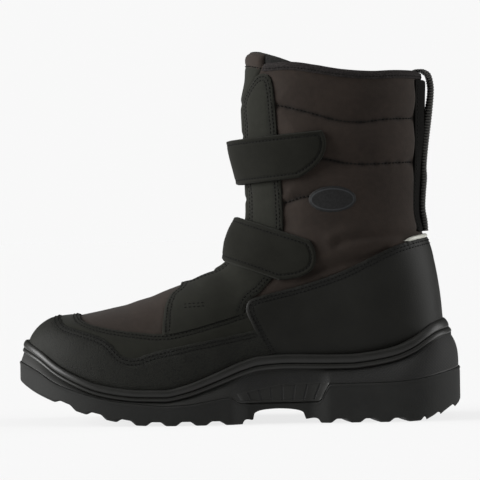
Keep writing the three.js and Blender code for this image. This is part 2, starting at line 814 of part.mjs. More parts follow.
function facingRegion() {
  const front = smoothEdge(FACING_FRONT);
  const top = smoothEdge(FACING_TOP);
  return [...front, new THREE.Vector2(-FAR, front[front.length - 1].y), new THREE.Vector2(-FAR, top[0].y), ...top];
}

function buildFacing(from, to) {
  return layer(clearance, facingThickness)
    .intersect(sideCut(facingRegion(), from, to))
    .subtract(belowEdge(BAND_TOP, clearance))
    .subtract(counterRegion(clearance))
    .subtract(slot(FACING_SPLIT, LAST_ROW, 0, throatCutIn, throatCutOut));
}

function buildBinding() {
  const outer = clearance + bindingThickness;
  const upperGrown = layer(-wall - clearance, wall + 2 * clearance).intersect(belowEdge(COLLAR, clearance));
  return layer(-wall - outer, wall + 2 * outer)
    .intersect(belowEdge(COLLAR, outer))
    .subtract(belowEdge(COLLAR, -bindingHeight))
    .subtract(upperGrown)
    .subtract(slot(THROAT_BOTTOM, LAST_ROW, -tongueWing - clearance - bindingThickness, throatCutIn, throatCutOut));
}

function buildPiping() {
  const rows = COUNTER_EDGE.filter((row) => row.along > 0.84).reverse();
  return layer(clearance, pipingThickness)
    .intersect(belowEdge(rows, clearance + pipingHeight))
    .subtract(belowEdge(rows, clearance))
    .subtract(sideCut([
      new THREE.Vector2(-FAR, -FAR),
      new THREE.Vector2(xAt(0.905), -FAR),
      new THREE.Vector2(xAt(0.925), FAR),
      new THREE.Vector2(-FAR, FAR),
    ]));
}

function backOuterX(level, offset) {
  const station = stationOnPlane({ x: 0, level, slope: 0 }, Math.PI);
  return skinPoint(station, Math.PI, offset).x;
}

function collarLevelAtBack() {
  return levelAt(COLLAR[COLLAR.length - 2].height);
}

const pipingTop = levelAt(1.106) + clearance + pipingHeight;

function buildBackstay() {
  return layer(clearance, backstayThickness)
    .intersect(sideCut([
      new THREE.Vector2(xAt(0.8), pipingTop + 2),
      new THREE.Vector2(FAR, pipingTop + 2),
      new THREE.Vector2(FAR, collarLevelAtBack() - bindingHeight - clearance),
      new THREE.Vector2(xAt(0.8), collarLevelAtBack() - bindingHeight - clearance),
    ], -backstayHalf, backstayHalf));
}

function buildPullLoop() {
  const tape = 3 * clearance + backstayThickness;
  const half = loopThickness / 2;
  const hollow = loopHalf ** 2 / ballWidth + 3 * clearance; // the flat tape stands clear of the curved lining
  const collar = collarLevelAtBack();
  const innerX = backOuterX(collar - loopTail, 0) - wall - bindingThickness - 2 * clearance - hollow - half;
  const topLevel = collar + 3 * clearance + bindingThickness + half;
  const outside = LOOP.map(({ height, stand }) => {
    const level = Math.min(levelAt(height), topLevel);
    return new THREE.Vector3(backOuterX(level, 0) + tape + stand * loopStand + half, 0, level);
  });
  const path = new THREE.CatmullRomCurve3([
    new THREE.Vector3(innerX, 0, collar - loopTail),
    new THREE.Vector3(innerX, 0, collar - half),
    new THREE.Vector3(innerX + 1, 0, topLevel),
    new THREE.Vector3(outside[0].x - half, 0, topLevel + clearance),
    ...outside,
  ], false, "centripetal");
  const steps = 34;
  const rings = [];
  for (let i = 0; i <= steps; i += 1) {
    const point = path.getPoint(i / steps);
    const tangent = path.getTangent(i / steps);
    const out = new THREE.Vector3(-tangent.z, 0, tangent.x);
    rings.push([[-1, -1], [1, -1], [1, 1], [-1, 1]].map(([side, face]) =>
      point.clone().addScaledVector(out, face * half).setY(side * loopHalf)));
  }
  return loft(rings);
}

function buildStrap({ top, bottom, tip, lowerRound, upperRound, anchor, bulge }) {
  const inner = clearance + facingThickness + clearance;
  const edges = [top, bottom].map((edge) => ({ x: xAt(edge.along), level: levelAt(edge.height), slope: edge.slope }));
  const planeAt = (share) => ({
    x: mix(edges[0].x, edges[1].x, share),
    level: mix(edges[0].level, edges[1].level, share),
    slope: mix(edges[0].slope, edges[1].slope, share),
  });
  const angleAt = (plane, x, side) => {
    let [near, far] = [0, Math.PI * 0.8];
    for (let i = 0; i < 30; i += 1) {
      const middle = (near + far) / 2;
      if (lastPoint(stationOnPlane(plane, side * middle), side * middle).x < x) near = middle;
      else far = middle;
    }
    return side * near;
  };
  const acrossSteps = 4;
  const lengthSteps = 22;
  const point = (plane, angle, offset, share) => {
    const station = stationOnPlane(plane, angle);
    const surface = skinPoint(station, angle, offset);
    const shin = skinPoint(stationOnPlane(plane, 0), 0, inner + strapThickness);
    const bow = shin.x - plane.x + bulge * Math.sin(Math.PI * share);
    const weight = 1 - smoothStep(0.15, 1.25, Math.abs(angle));
    surface.x -= bow * weight;
    surface.z -= bow * weight * plane.slope;
    return surface;
  };
  const rings = [];
  for (let i = 0; i <= lengthSteps; i += 1) {
    const outerLine = [];
    const innerLine = [];
    for (let j = 0; j <= acrossSteps; j += 1) {
      const share = j / acrossSteps;
      const plane = planeAt(share);
      const reach = tip - lowerRound * share ** strapEndPower - upperRound * (1 - share) ** 6;
      const freeEnd = angleAt(plane, xAt(reach), 1);
      const sewnEnd = angleAt(plane, xAt(anchor), -1);
      const angle = mix(freeEnd, sewnEnd, i / lengthSteps);
      outerLine.push(point(plane, angle, inner + strapThickness, share));
      innerLine.push(point(plane, angle, inner, share));
    }
    rings.push([...outerLine, ...innerLine.reverse()]);
  }
  return loft(rings).subtract(form(inner));
}

function buildBadge() {
  const centre = sidePoint({ along: 0.736, height: 1.29 });
  const oval = new THREE.EllipseCurve(centre.x, centre.y, badgeLength / 2, badgeHeight / 2).getPoints(28).slice(1);
  return layer(clearance, badgeThickness).intersect(sideCut(oval, -FAR, 0));
}

// Finishes

const finishes = {
  rubber: { color: 0x2b2b29, roughness: 0.55 },
  soleFoam: { color: 0x2e2e2b, roughness: 0.5 },
  quilt: { color: 0x3a322e, roughness: 0.8 },
  nubuck: { color: 0x2a2a27, roughness: 0.95 },
  coated: { color: 0x222220, roughness: 0.6 },
  pebbled: { color: 0x262624, roughness: 0.75 },
  felt: { color: 0x3c3c3a, roughness: 1 },
  webbing: { color: 0x242422, roughness: 0.9 },
  reflective: { color: 0xa9a99f, roughness: 0.35 },
};

const boot = new THREE.Group();

function addPart(name, solid, finish) {
  const material = new THREE.MeshStandardMaterial({ ...finishes[finish], metalness: 0 });
  const mesh = new THREE.Mesh(geometryFrom(solid), material);
  mesh.name = name;
  boot.add(mesh);
}

addPart("outsole", buildOutsole(), "rubber");
addPart("midsole", buildMidsole(), "soleFoam");
addPart("insole", buildInsole(), "felt");
addPart("upper", buildUpper(), "quilt");
addPart("tongue", buildTongue(), "nubuck");
addPart("toe_rand", buildRand(), "pebbled");
addPart("vamp_band", buildBand(), "nubuck");
addPart("facing_lateral", buildFacing(-FAR, 0), "nubuck");
addPart("facing_medial", buildFacing(0, FAR), "nubuck");
addPart("heel_counter", buildCounter(), "coated");
addPart("heel_piping", buildPiping(), "reflective");
addPart("collar_binding", buildBinding(), "webbing");
addPart("backstay", buildBackstay(), "webbing");
addPart("pull_loop", buildPullLoop(), "webbing");
addPart("badge_patch", buildBadge(), "coated");
for (const [name, strap] of Object.entries(STRAPS)) addPart(name, buildStrap(strap), "nubuck");

export default boot;
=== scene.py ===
import math

import bmesh
import bpy
import numpy as np
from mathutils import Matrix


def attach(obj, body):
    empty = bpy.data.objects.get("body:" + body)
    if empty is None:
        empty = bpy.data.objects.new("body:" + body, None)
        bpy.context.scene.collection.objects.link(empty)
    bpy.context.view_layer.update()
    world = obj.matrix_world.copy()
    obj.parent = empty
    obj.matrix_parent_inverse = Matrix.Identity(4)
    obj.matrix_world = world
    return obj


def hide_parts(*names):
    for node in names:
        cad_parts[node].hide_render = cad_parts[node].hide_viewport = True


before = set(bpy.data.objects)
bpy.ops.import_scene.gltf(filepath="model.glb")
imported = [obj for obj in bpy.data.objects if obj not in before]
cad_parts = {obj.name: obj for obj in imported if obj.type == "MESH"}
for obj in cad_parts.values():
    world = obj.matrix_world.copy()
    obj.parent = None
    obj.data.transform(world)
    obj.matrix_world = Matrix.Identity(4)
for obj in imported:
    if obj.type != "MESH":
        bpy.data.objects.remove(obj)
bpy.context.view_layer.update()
bpy.ops.object.select_all(action="DESELECT")


# The upper: a bootie and shaft of brown quilted cloth over felt, sewn round the last and closed underneath.
# Every panel of the boot is cut from the last's own surface, so this section also draws that surface, as one
# fine grid of sections from the toe to above the collar. Sizes are millimetres until a mesh is made.

LAST_LENGTH = 288.7
TOE_X = -147.0
BALL_WIDTH = 100
INSTEP_HEIGHT = 110
SHAFT_RISE = 147
TOE_ROUND_PLAN = 62
TOE_ROUND_PROFILE = 24
TOE_POLE_HEIGHT = 0.44
MM = 0.001

# Each row is a plane across the foot: its front end on the vamp or shin, its back end at the sole or heel,
# the half widths to the outer and inner side, how far its middle lies inwards, where it is widest, and how
# round it is. Lengths are shares: along from toe to heel, height from floor to instep (1) and tongue (2), and
# widths of the ball.
SECTION_COLUMNS = (
    "front_along", "front_height", "back_along", "back_height",
    "lateral", "medial", "centre", "widest", "front_power", "back_power",
)
SECTIONS = [
    (0.0, 0.65, 0.0, 0.33, 0.31, 0.45, 0.08, 0.4, 2.4, 3.0),
    (0.09, 0.668, 0.09, 0.235, 0.39, 0.485, 0.06, 0.36, 2.4, 3.4),
    (0.18, 0.706, 0.18, 0.165, 0.445, 0.5, 0.035, 0.3, 2.2, 3.6),
    (0.27, 0.766, 0.27, 0.12, 0.485, 0.5, 0.015, 0.26, 2.1, 3.6),
    (0.35, 0.843, 0.36, 0.11, 0.5, 0.475, 0.0, 0.27, 2.05, 3.6),
    (0.42, 0.918, 0.46, 0.13, 0.475, 0.42, -0.01, 0.3, 2.05, 3.4),
    (0.468, 0.975, 0.58, 0.185, 0.42, 0.375, -0.01, 0.34, 2.05, 3.2),
    (0.497, 1.04, 0.72, 0.24, 0.395, 0.37, -0.005, 0.38, 2.1, 3.0),
    (0.516, 1.09, 0.88, 0.27, 0.385, 0.375, 0.0, 0.4, 2.1, 2.8),
    (0.528, 1.16, 0.998, 0.45, 0.385, 0.38, 0.0, 0.42, 2.1, 2.7),
    (0.533, 1.25, 0.992, 0.72, 0.39, 0.385, 0.0, 0.45, 2.1, 2.5),
    (0.532, 1.36, 0.976, 1.0, 0.4, 0.395, 0.0, 0.48, 2.1, 2.3),
    (0.53, 1.49, 0.947, 1.24, 0.415, 0.41, 0.0, 0.5, 2.1, 2.2),
    (0.527, 1.63, 0.953, 1.48, 0.435, 0.43, 0.0, 0.5, 2.1, 2.2),
    (0.525, 1.77, 0.954, 1.69, 0.45, 0.445, 0.0, 0.5, 2.1, 2.2),
    (0.528, 1.91, 0.957, 1.88, 0.46, 0.455, 0.0, 0.5, 2.1, 2.2),
    (0.53, 2.05, 0.958, 2.03, 0.465, 0.46, 0.0, 0.5, 2.1, 2.2),
]
HEEL_ROW = 8
LAST_ROW = len(SECTIONS) - 1


def level(height):
    """Millimetres above the floor at a height share."""
    height = np.asarray(height, float)
    return np.where(height <= 1, height * INSTEP_HEIGHT, INSTEP_HEIGHT + (height - 1) * SHAFT_RISE)


def x_at(along):
    return TOE_X + np.asarray(along, float) * LAST_LENGTH


def mix(a, b, share):
    return a + (b - a) * share


def smooth_step(start, end, value):
    share = np.clip((np.asarray(value, float) - start) / (end - start), 0, 1)
    return share * share * (3 - 2 * share)


def hump(distance, width):
    """1 where the distance is 0, falling away softly on both sides."""
    return np.exp(-(distance / width) ** 2)


def rounding(distance, reach):
    """From 0 at an edge to 1 at that reach, as a quarter circle."""
    return np.sqrt(np.maximum(0, 1 - (1 - np.clip(distance / reach, 0, 1)) ** 2))


def closing(distance, reach, power):
    """From 0 to 1 as an arc, for a width that closes towards an end."""
    return (1 - (1 - np.clip(np.asarray(distance, float) / reach, 0, 1)) ** power) ** (1 / power)


def curve(places, values, at):
    """The height of a smooth curve through a table's points, which never overshoots them."""
    x, y = np.asarray(places, float), np.asarray(values, float)
    rise = np.diff(y) / np.diff(x)
    both = rise[:-1] * rise[1:]
    total = np.where(rise[:-1] + rise[1:] == 0, 1, rise[:-1] + rise[1:])
    tangent = np.concatenate([rise[:1], np.where(both > 0, 2 * both / total, 0), rise[-1:]])
    at = np.clip(at, x[0], x[-1])
    i = np.clip(np.searchsorted(x, at, side="right") - 1, 0, len(x) - 2)
    width = x[i + 1] - x[i]
    t = (at - x[i]) / width
    ends = (1 + 2 * t) * (1 - t) ** 2 * y[i] + t ** 2 * (3 - 2 * t) * y[i + 1]
    slopes = t * (1 - t) ** 2 * tangent[i] + t ** 2 * (t - 1) * tangent[i + 1]
    return ends + width * slopes


def last_at(station, angle):
    """Points of the last. The angle is 0 at a section's front end and grows towards the outer side."""
    station, angle = np.broadcast_arrays(np.asarray(station, float), np.asarray(angle, float))
    rows = range(len(SECTIONS))
    row = {
        name: curve(rows, [section[k] for section in SECTIONS], station)
        for k, name in enumerate(SECTION_COLUMNS)
    }
    narrow = closing(row["back_along"] * LAST_LENGTH, TOE_ROUND_PLAN, 2.4)
    low = closing(row["back_along"] * LAST_LENGTH, TOE_ROUND_PROFILE, 2)
    pole = TOE_POLE_HEIGHT * INSTEP_HEIGHT
    cosine, sine = np.cos(angle), np.sin(angle)
    ahead = cosine > 0
    power = 2 / np.where(ahead, row["front_power"], row["back_power"])
    reach = np.where(ahead, 1 - row["widest"], row["widest"])
    share = row["widest"] + np.sign(cosine) * reach * np.abs(cosine) ** power
    side = np.sign(sine) * np.abs(sine) ** power
    centre = row["centre"] * BALL_WIDTH
    outer = (row["lateral"] * BALL_WIDTH + centre) * narrow
    inner = (row["medial"] * BALL_WIDTH - centre) * narrow
    back_z, front_z = (mix(pole, level(row[end]), low) for end in ("back_height", "front_height"))
    x = mix(x_at(row["back_along"]), x_at(row["front_along"]), share)
    y = centre - side * np.where(side > 0, outer, inner)
    return np.stack([x, y, mix(back_z, front_z, share)], axis=-1)


def unit(vectors):
    return vectors / np.maximum(np.linalg.norm(vectors, axis=-1, keepdims=True), 1e-9)


def last_normal(station, angle):
    station = np.maximum(station, 0.02)
    along = last_at(station + 0.01, angle) - last_at(station - 0.01, angle)
    around = last_at(station, angle + 0.01) - last_at(station, angle - 0.01)
    return unit(np.cross(around, along))


ROWS_PER_SECTION = 15
TOE_ROWS = 22
HALF_COLUMNS = 108


def last_grid():
    """Points, normals and stations of a fine grid on the last, each half ring in even steps."""
    toe = 1 - np.cos(np.linspace(0, math.pi / 2, TOE_ROWS))
    rest = np.linspace(1, LAST_ROW, (LAST_ROW - 1) * ROWS_PER_SECTION + 1)[1:]
    stations = np.concatenate([toe, rest])
    fine = np.linspace(0, 2 * math.pi, 481)
    rings = last_at(stations[:, None], fine[None, :])
    points = np.empty((len(stations), 2 * HALF_COLUMNS, 3))
    for r, ring in enumerate(rings):
        for half in range(2):
            part = ring[half * 240:half * 240 + 241]
            length = np.concatenate([[0], np.cumsum(np.linalg.norm(np.diff(part, axis=0), axis=1))])
            steps = np.linspace(0, length[-1], HALF_COLUMNS + 1)[:-1]
            for k in range(3):
                columns = slice(half * HALF_COLUMNS, (half + 1) * HALF_COLUMNS)
                points[r, columns, k] = np.interp(steps, length, part[:, k])
    around = np.roll(points, -1, axis=1) - np.roll(points, 1, axis=1)
    along = np.gradient(points, axis=0)
    normals = unit(np.cross(around, along))
    normals[0] = (-1, 0, 0)
    normals[1:-1] = unit(normals[:-2] + 2 * normals[1:-1] + normals[2:])
    return points, normals, np.repeat(stations[:, None], 2 * HALF_COLUMNS, axis=1)


skin, skin_normal, skin_station = last_grid()


def true_distance(field):
    """A field measured in side view, turned into millimetres along the curved skin."""
    around = (np.roll(skin, -1, axis=1) - np.roll(skin, 1, axis=1)) / 2
    along = np.gradient(skin, axis=0)
    f_around = (np.roll(field, -1, axis=1) - np.roll(field, 1, axis=1)) / 2
    f_along = np.gradient(field, axis=0)
    g_aa, g_bb, g_ab = ((p * q).sum(-1) for p, q in ((around, around), (along, along), (around, along)))
    area = np.maximum(g_aa * g_bb - g_ab ** 2, 1e-6)
    rise = g_bb * f_around ** 2 - 2 * g_ab * f_around * f_along + g_aa * f_along ** 2
    return field / np.clip(np.sqrt(np.maximum(rise, 0) / area), 0.35, 1.6)


def through(points, steps):
    """A smooth curve through points, with that many steps between each two."""
    padded = np.vstack([2 * points[0] - points[1], points, 2 * points[-1] - points[-2]])
    t = np.linspace(0, 1, steps, endpoint=False)[:, None]
    parts = []
    for a, b, c, d in zip(padded, padded[1:], padded[2:], padded[3:]):
        bend = (2 * a - 5 * b + 4 * c - d) * t ** 2 + (3 * b - a - 3 * c + d) * t ** 3
        parts.append(0.5 * (2 * b + (c - a) * t + bend))
    return np.vstack([*parts, points[-1:]])


def smooth_line(rows, lift=0):
    """A side view line through a table's rows of (along, height), as x and z in millimetres."""
    return through(np.array([(x_at(along), level(height) + lift) for along, height in rows]), 8)


def line_distance(line):
    """Side view distance from the skin's grid to a line."""
    at = skin[..., (0, 2)]
    best = np.full(at.shape[:-1], 1e9)
    for start, end in zip(line[:-1], line[1:]):
        run = end - start
        share = np.clip(((at - start) @ run) / max(run @ run, 1e-9), 0, 1)
        best = np.minimum(best, np.linalg.norm(at - start - share[..., None] * run, axis=-1))
    return best


def depth_under(line):
    """Side view distance under a line that runs from toe to heel, negative above it."""
    under = skin[..., 2] < np.interp(skin[..., 0], line[:, 0], line[:, 1])
    return np.where(under, 1, -1) * line_distance(line)


def below(rows, lift=0):
    """Distance under an edge along the curved skin, negative above it."""
    return true_distance(depth_under(smooth_line(rows, lift)))


def within(outline):
    """Distance inside a closed side view outline, negative outside it."""
    x, z = skin[..., 0], skin[..., 2]
    inside = np.zeros(x.shape, bool)
    closed = np.vstack([outline, outline[:1]])
    for (x0, z0), (x1, z1) in zip(closed[:-1], closed[1:]):
        crosses = (z0 > z) != (z1 > z)
        inside ^= crosses & (x < x0 + (z - z0) * (x1 - x0) / np.where(z1 == z0, 1e-9, z1 - z0))
    return true_distance(np.where(inside, 1, -1) * line_distance(closed))


RIM_TOP = [
    (-0.03, 0.535), (0.02, 0.468), (0.07, 0.378), (0.12, 0.312), (0.17, 0.262), (0.22, 0.236), (0.27, 0.223),
    (0.33, 0.221), (0.38, 0.247), (0.43, 0.294), (0.485, 0.354), (0.515, 0.386), (0.56, 0.418), (0.62, 0.428),
    (0.695, 0.424), (0.725, 0.422), (0.77, 0.422), (0.82, 0.435), (0.88, 0.466), (0.93, 0.514), (0.99, 0.6),
    (1.05, 0.635),
]
RAND_TOP = [
    (0.076, 0.8), (0.079, 0.69), (0.093, 0.62), (0.14, 0.58), (0.185, 0.542), (0.208, 0.5), (0.232, 0.438),
    (0.262, 0.418), (0.3, 0.448), (0.36, 0.482), (0.42, 0.514), (0.53, 0.57), (0.65, 0.63),
]
BAND_TOP = [
    (0.117, 0.84), (0.12, 0.72), (0.13, 0.655), (0.158, 0.62), (0.205, 0.593), (0.275, 0.57), (0.33, 0.563),
    (0.385, 0.588), (0.455, 0.64), (0.53, 0.698), (0.65, 0.8),
]
COUNTER_EDGE = [
    (1.05, 1.125), (0.966, 1.106), (0.9, 1.078), (0.847, 1.037), (0.752, 0.933), (0.656, 0.849), (0.57, 0.793),
    (0.538, 0.765), (0.527, 0.728), (0.53, 0.67), (0.546, 0.58), (0.565, 0.486), (0.6, 0.33),
]
FACING_FRONT = [
    (0.325, 0.45), (0.328, 0.56), (0.331, 0.66), (0.337, 0.742), (0.351, 0.806), (0.372, 0.86), (0.38, 1.0),
]
FACING_BACK = [
    (0.505, 1.7), (0.527, 1.766), (0.538, 1.815), (0.555, 1.862), (0.575, 1.883), (0.592, 1.868), (0.599, 1.82),
    (0.604, 1.71), (0.61, 1.52), (0.616, 1.335), (0.618, 1.13), (0.608, 0.97), (0.566, 0.828), (0.53, 0.735),
    (0.5, 0.5),
]
COLLAR = [
    (0.45, 1.935), (0.565, 1.925), (0.641, 1.925), (0.7, 1.907), (0.76, 1.886), (0.83, 1.876), (0.9, 1.882),
    (1.05, 1.885),
]
FAR = 400


def facing_outline():
    front, back = smooth_line(FACING_FRONT), smooth_line(FACING_BACK)
    return np.vstack([front, [(-FAR, front[-1][1]), (-FAR, back[0][1])], back])


def counter_outline():
    edge = smooth_line(COUNTER_EDGE)
    return np.vstack([edge, [(edge[-1][0], -FAR), (FAR, -FAR), (FAR, edge[0][1])]])


THROAT_START = 5.45
THROAT_ROUND = 0.45
FACING_SPLIT = 4.35
THROAT_HALF = (9, 13)
THROAT_FLARE = 17


def slot_distance(start, margin=0):
    """Distance inside the slot down the front of the boot, which starts at that section."""
    flare = smooth_step(level(1.72), level(1.93), skin[..., 2]) * THROAT_FLARE
    half = mix(*THROAT_HALF, smooth_step(FACING_SPLIT, LAST_ROW, skin_station)) + flare - margin
    front = last_at(skin_station, 0)
    rounded = closing(skin_station - start, THROAT_ROUND, 2)
    ahead = np.cumsum(np.linalg.norm(np.diff(front, axis=0, prepend=front[:1]), axis=-1), axis=0)
    begin = np.interp(start, skin_station[:, 0], ahead[:, 0])
    inside = half * np.maximum(rounded, 0.02) - np.abs(skin[..., 1] - front[..., 1])
    inside = np.minimum(inside, ahead - begin)
    facing_front = skin_normal[..., 0] < 0.25
    return np.where(facing_front & (skin_station > start - 1.5), inside, -30)


collar_inside = below(COLLAR)
throat_outside = -slot_distance(THROAT_START)
rand_inside = below(RAND_TOP)
band_inside = below(BAND_TOP)
counter_inside = within(counter_outline())
facing_inside = within(facing_outline())
rim_inside = below(RIM_TOP)

# Quilting seams across the shaft, and the creases where it bends over the heel.
QUILT_SEAMS = [
    [(0.5, 1.75), (0.608, 1.73), (0.639, 1.716), (0.686, 1.691), (0.745, 1.657), (0.804, 1.645), (0.863, 1.658),
     (0.932, 1.665), (1.0, 1.668)],
    [(0.5, 1.5), (0.64, 1.5), (0.719, 1.476), (0.767, 1.456), (0.826, 1.45), (0.93, 1.46), (1.0, 1.465)],
    [(0.5, 1.25), (0.618, 1.275), (0.66, 1.3), (0.7, 1.305)],
]
CREASES = [
    ([(0.745, 1.085), (0.764, 1.1), (0.823, 1.115), (0.906, 1.117), (0.96, 1.12)], 1.5, 2.6),
    ([(0.66, 0.935), (0.694, 0.958), (0.775, 0.994), (0.823, 1.027), (0.858, 1.052)], 1.7, 3.2),
    ([(0.6, 0.96), (0.64, 1.0), (0.7, 1.03), (0.75, 1.04)], 0.5, 5.0),
    ([(0.63, 1.2), (0.68, 1.17), (0.74, 1.16)], 0.5, 6.0),
    ([(0.24, 0.72), (0.27, 0.66), (0.31, 0.62)], 0.35, 5.0),
    ([(0.3, 0.78), (0.31, 0.7), (0.3, 0.62)], 0.3, 5.0),
]
PUFF = 1.7
PUFF_REACH = 9
SEAM_DEPTH = 1.5
SEAM_WIDTH = 2.4
WALL = 4

quilt_distance = np.min([true_distance(line_distance(smooth_line(rows))) for rows in QUILT_SEAMS], axis=0)
edges = [collar_inside - 4, band_inside, counter_inside, facing_inside]
cloth_edge = np.min([quilt_distance, *(np.abs(edge) for edge in edges)], axis=0)
BACKSTAY_HALF = 20
under_tape = (skin[..., 0] > x_at(0.8)) & (np.abs(skin[..., 1]) < BACKSTAY_HALF) & (skin[..., 2] > level(1.1))
panels = (rand_inside > 0) | (band_inside > 0) | (counter_inside > 0) | (facing_inside > 0)
covered = panels | under_tape
loose_cloth = np.where(covered, 0, 1 - hump(cloth_edge, PUFF_REACH))
loose_cloth *= mix(0.1, 1, smooth_step(x_at(0.42), x_at(0.5), skin[..., 0]))
cloth_relief = PUFF * loose_cloth - np.where(covered, 0, SEAM_DEPTH * hump(quilt_distance, SEAM_WIDTH))
for rows, depth, width in CREASES:
    away = line_distance(smooth_line(rows))
    ridge = hump(away - 2.2 * width, 1.4 * width)
    cloth_relief += np.where(covered, 0, depth * (0.4 * ridge - hump(away, width)))
wave = np.sin(skin[..., 0] * 0.11 + skin[..., 2] * 0.05) * np.sin(skin[..., 2] * 0.13 - skin[..., 1] * 0.06)
cloth_relief += 0.25 * wave * loose_cloth
cloth_relief = np.where(covered, -0.3, cloth_relief)


def grid_cells(rows, columns):
    """The four corners of each cell of a grid whose rows are rings."""
    index = np.arange(rows * columns).reshape(rows, columns)
    across = np.roll(index, -1, axis=1)
    return np.stack([index[:-1], across[:-1], across[1:], index[1:]], axis=-1).reshape(-1, 4)


def cut_grid(inside, data):
    """The part of the skin's grid where inside is above 0, cut clean along its edge: corner data and faces."""
    rows, columns = inside.shape
    flat = inside.ravel()
    values = data.reshape(rows * columns, -1)
    cells = grid_cells(rows, columns)
    count = (flat[cells] > 0).sum(axis=1)
    faces = cells[count == 4].tolist()
    made, extra = {}, []
    for cell in cells[(count > 0) & (count < 4)].tolist():
        loop = []
        for a, b in zip(cell, cell[1:] + cell[:1]):
            if flat[a] > 0:
                loop.append(a)
            if (flat[a] > 0) != (flat[b] > 0):
                key = (min(a, b), max(a, b))
                if key not in made:
                    share = np.clip(flat[a] / (flat[a] - flat[b]), 0.02, 0.98)
                    made[key] = len(values) + len(extra)
                    extra.append(mix(values[a], values[b], share))
                loop.append(made[key])
        faces.append(loop)
    if extra:
        values = np.vstack([values, extra])
    used = np.unique(np.concatenate([np.asarray(face) for face in faces]))
    place = np.full(len(values), -1)
    place[used] = np.arange(len(used))
    return values[used], [[int(place[v]) for v in face] for face in faces]


def rim_faces(faces, count):
    """Faces that join the open edge of a sheet to that of its copy, whose corners follow by count."""
    edges = {}
    for face in faces:
        for a, b in zip(face, face[1:] + face[:1]):
            edges[(a, b)] = True
    return [[b, a, a + count, b + count] for a, b in edges if (b, a) not in edges]


def make_object(name, points, faces, values=None):
    """A smooth-shaded mesh object from points in millimetres, with named values stored on its corners."""
    mesh = bpy.data.meshes.new(name)
    mesh.from_pydata((np.asarray(points) * MM).tolist(), [], faces)
    for key, column in (values or {}).items():
        mesh.attributes.new(key, "FLOAT", "POINT").data.foreach_set("value", np.asarray(column, np.float32))
    work = bmesh.new()
    work.from_mesh(mesh)
    bmesh.ops.remove_doubles(work, verts=work.verts, dist=1e-7)
    bmesh.ops.dissolve_degenerate(work, edges=work.edges, dist=1e-8)
    work.to_mesh(mesh)
    work.free()
    mesh.shade_smooth()
    made = bpy.data.objects.new(name, mesh)
    bpy.context.collection.objects.link(made)
    return made


def shell(name, inside, outer, inner, values=None):
    """A closed panel of the skin: where inside is above 0, between its outer and inner offsets."""
    values = values or {}
    outer, inner = (np.broadcast_to(offset, inside.shape) for offset in (outer, inner))
    extra = [column[..., None] for column in (outer, inner, *values.values())]
    data = np.concatenate([skin, skin_normal, *extra], axis=-1)
    corners, faces = cut_grid(inside, data)
    point, normal = corners[:, :3], unit(corners[:, 3:6])
    top, bottom = (point + normal * corners[:, k:k + 1] for k in (6, 7))
    count = len(corners)
    turned = [[v + count for v in reversed(face)] for face in faces]
    columns = {key: np.tile(corners[:, 8 + k], 2) for k, key in enumerate(values)}
    made = make_object(name, np.vstack([top, bottom]), faces + turned + rim_faces(faces, count), columns)
    made.data.set_sharp_from_angle(angle=math.radians(50))
    return made


def turn_outwards(piece):
    """Turns all faces of a closed piece outwards."""
    bpy.context.view_layer.objects.active = piece
    bpy.ops.object.mode_set(mode="EDIT")
    bpy.ops.mesh.select_all(action="SELECT")
    bpy.ops.mesh.normals_make_consistent(inside=False)
    bpy.ops.object.mode_set(mode="OBJECT")


def ring_faces(count, sides):
    """Faces between rings of corners that follow each other."""
    return [
        [r * sides + k, r * sides + (k + 1) % sides, (r + 1) * sides + (k + 1) % sides, (r + 1) * sides + k]
        for r in range(count - 1) for k in range(sides)
    ]


def flat_ends(count, sides):
    return [list(range(sides))[::-1], list(range((count - 1) * sides, count * sides))]


def finish_piece(piece, nodes, material):
    """Gives a finished piece its material and the body it rides on, and hides the CAD nodes it stands for."""
    piece.data.materials.append(material)
    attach(piece, "root")
    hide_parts(*nodes)
    return piece


class Wire:
    """One output of a material's nodes. Arithmetic on it adds Math nodes."""

    def __init__(self, tree, socket):
        self.tree, self.socket = tree, socket

    def maths(self, operation, *others, swapped=False):
        node = self.tree.nodes.new("ShaderNodeMath")
        node.operation = operation
        values = [self, *others]
        if swapped:
            values.reverse()
        for socket, value in zip(node.inputs, values):
            feed(self.tree, socket, value)
        return Wire(self.tree, node.outputs[0])

    def __add__(self, other):
        return self.maths("ADD", other)

    def __radd__(self, other):
        return self.maths("ADD", other)

    def __sub__(self, other):
        return self.maths("SUBTRACT", other)

    def __rsub__(self, other):
        return self.maths("SUBTRACT", other, swapped=True)

    def __mul__(self, other):
        return self.maths("MULTIPLY", other)

    def __rmul__(self, other):
        return self.maths("MULTIPLY", other)

    def __truediv__(self, other):
        return self.maths("DIVIDE", other)

    def size(self):
        return self.maths("ABSOLUTE")

    def sine(self):
        return self.maths("SINE")

    def limited(self, low, high):
        return self.maths("MAXIMUM", low).maths("MINIMUM", high)

    def ramp(self, start, end):
        """0 below start and 1 above end."""
        return ((self - start) / (end - start)).limited(0.0, 1.0)


def feed(tree, socket, value):
    if isinstance(value, Wire):
        tree.links.new(value.socket, socket)
    else:
        socket.default_value = value


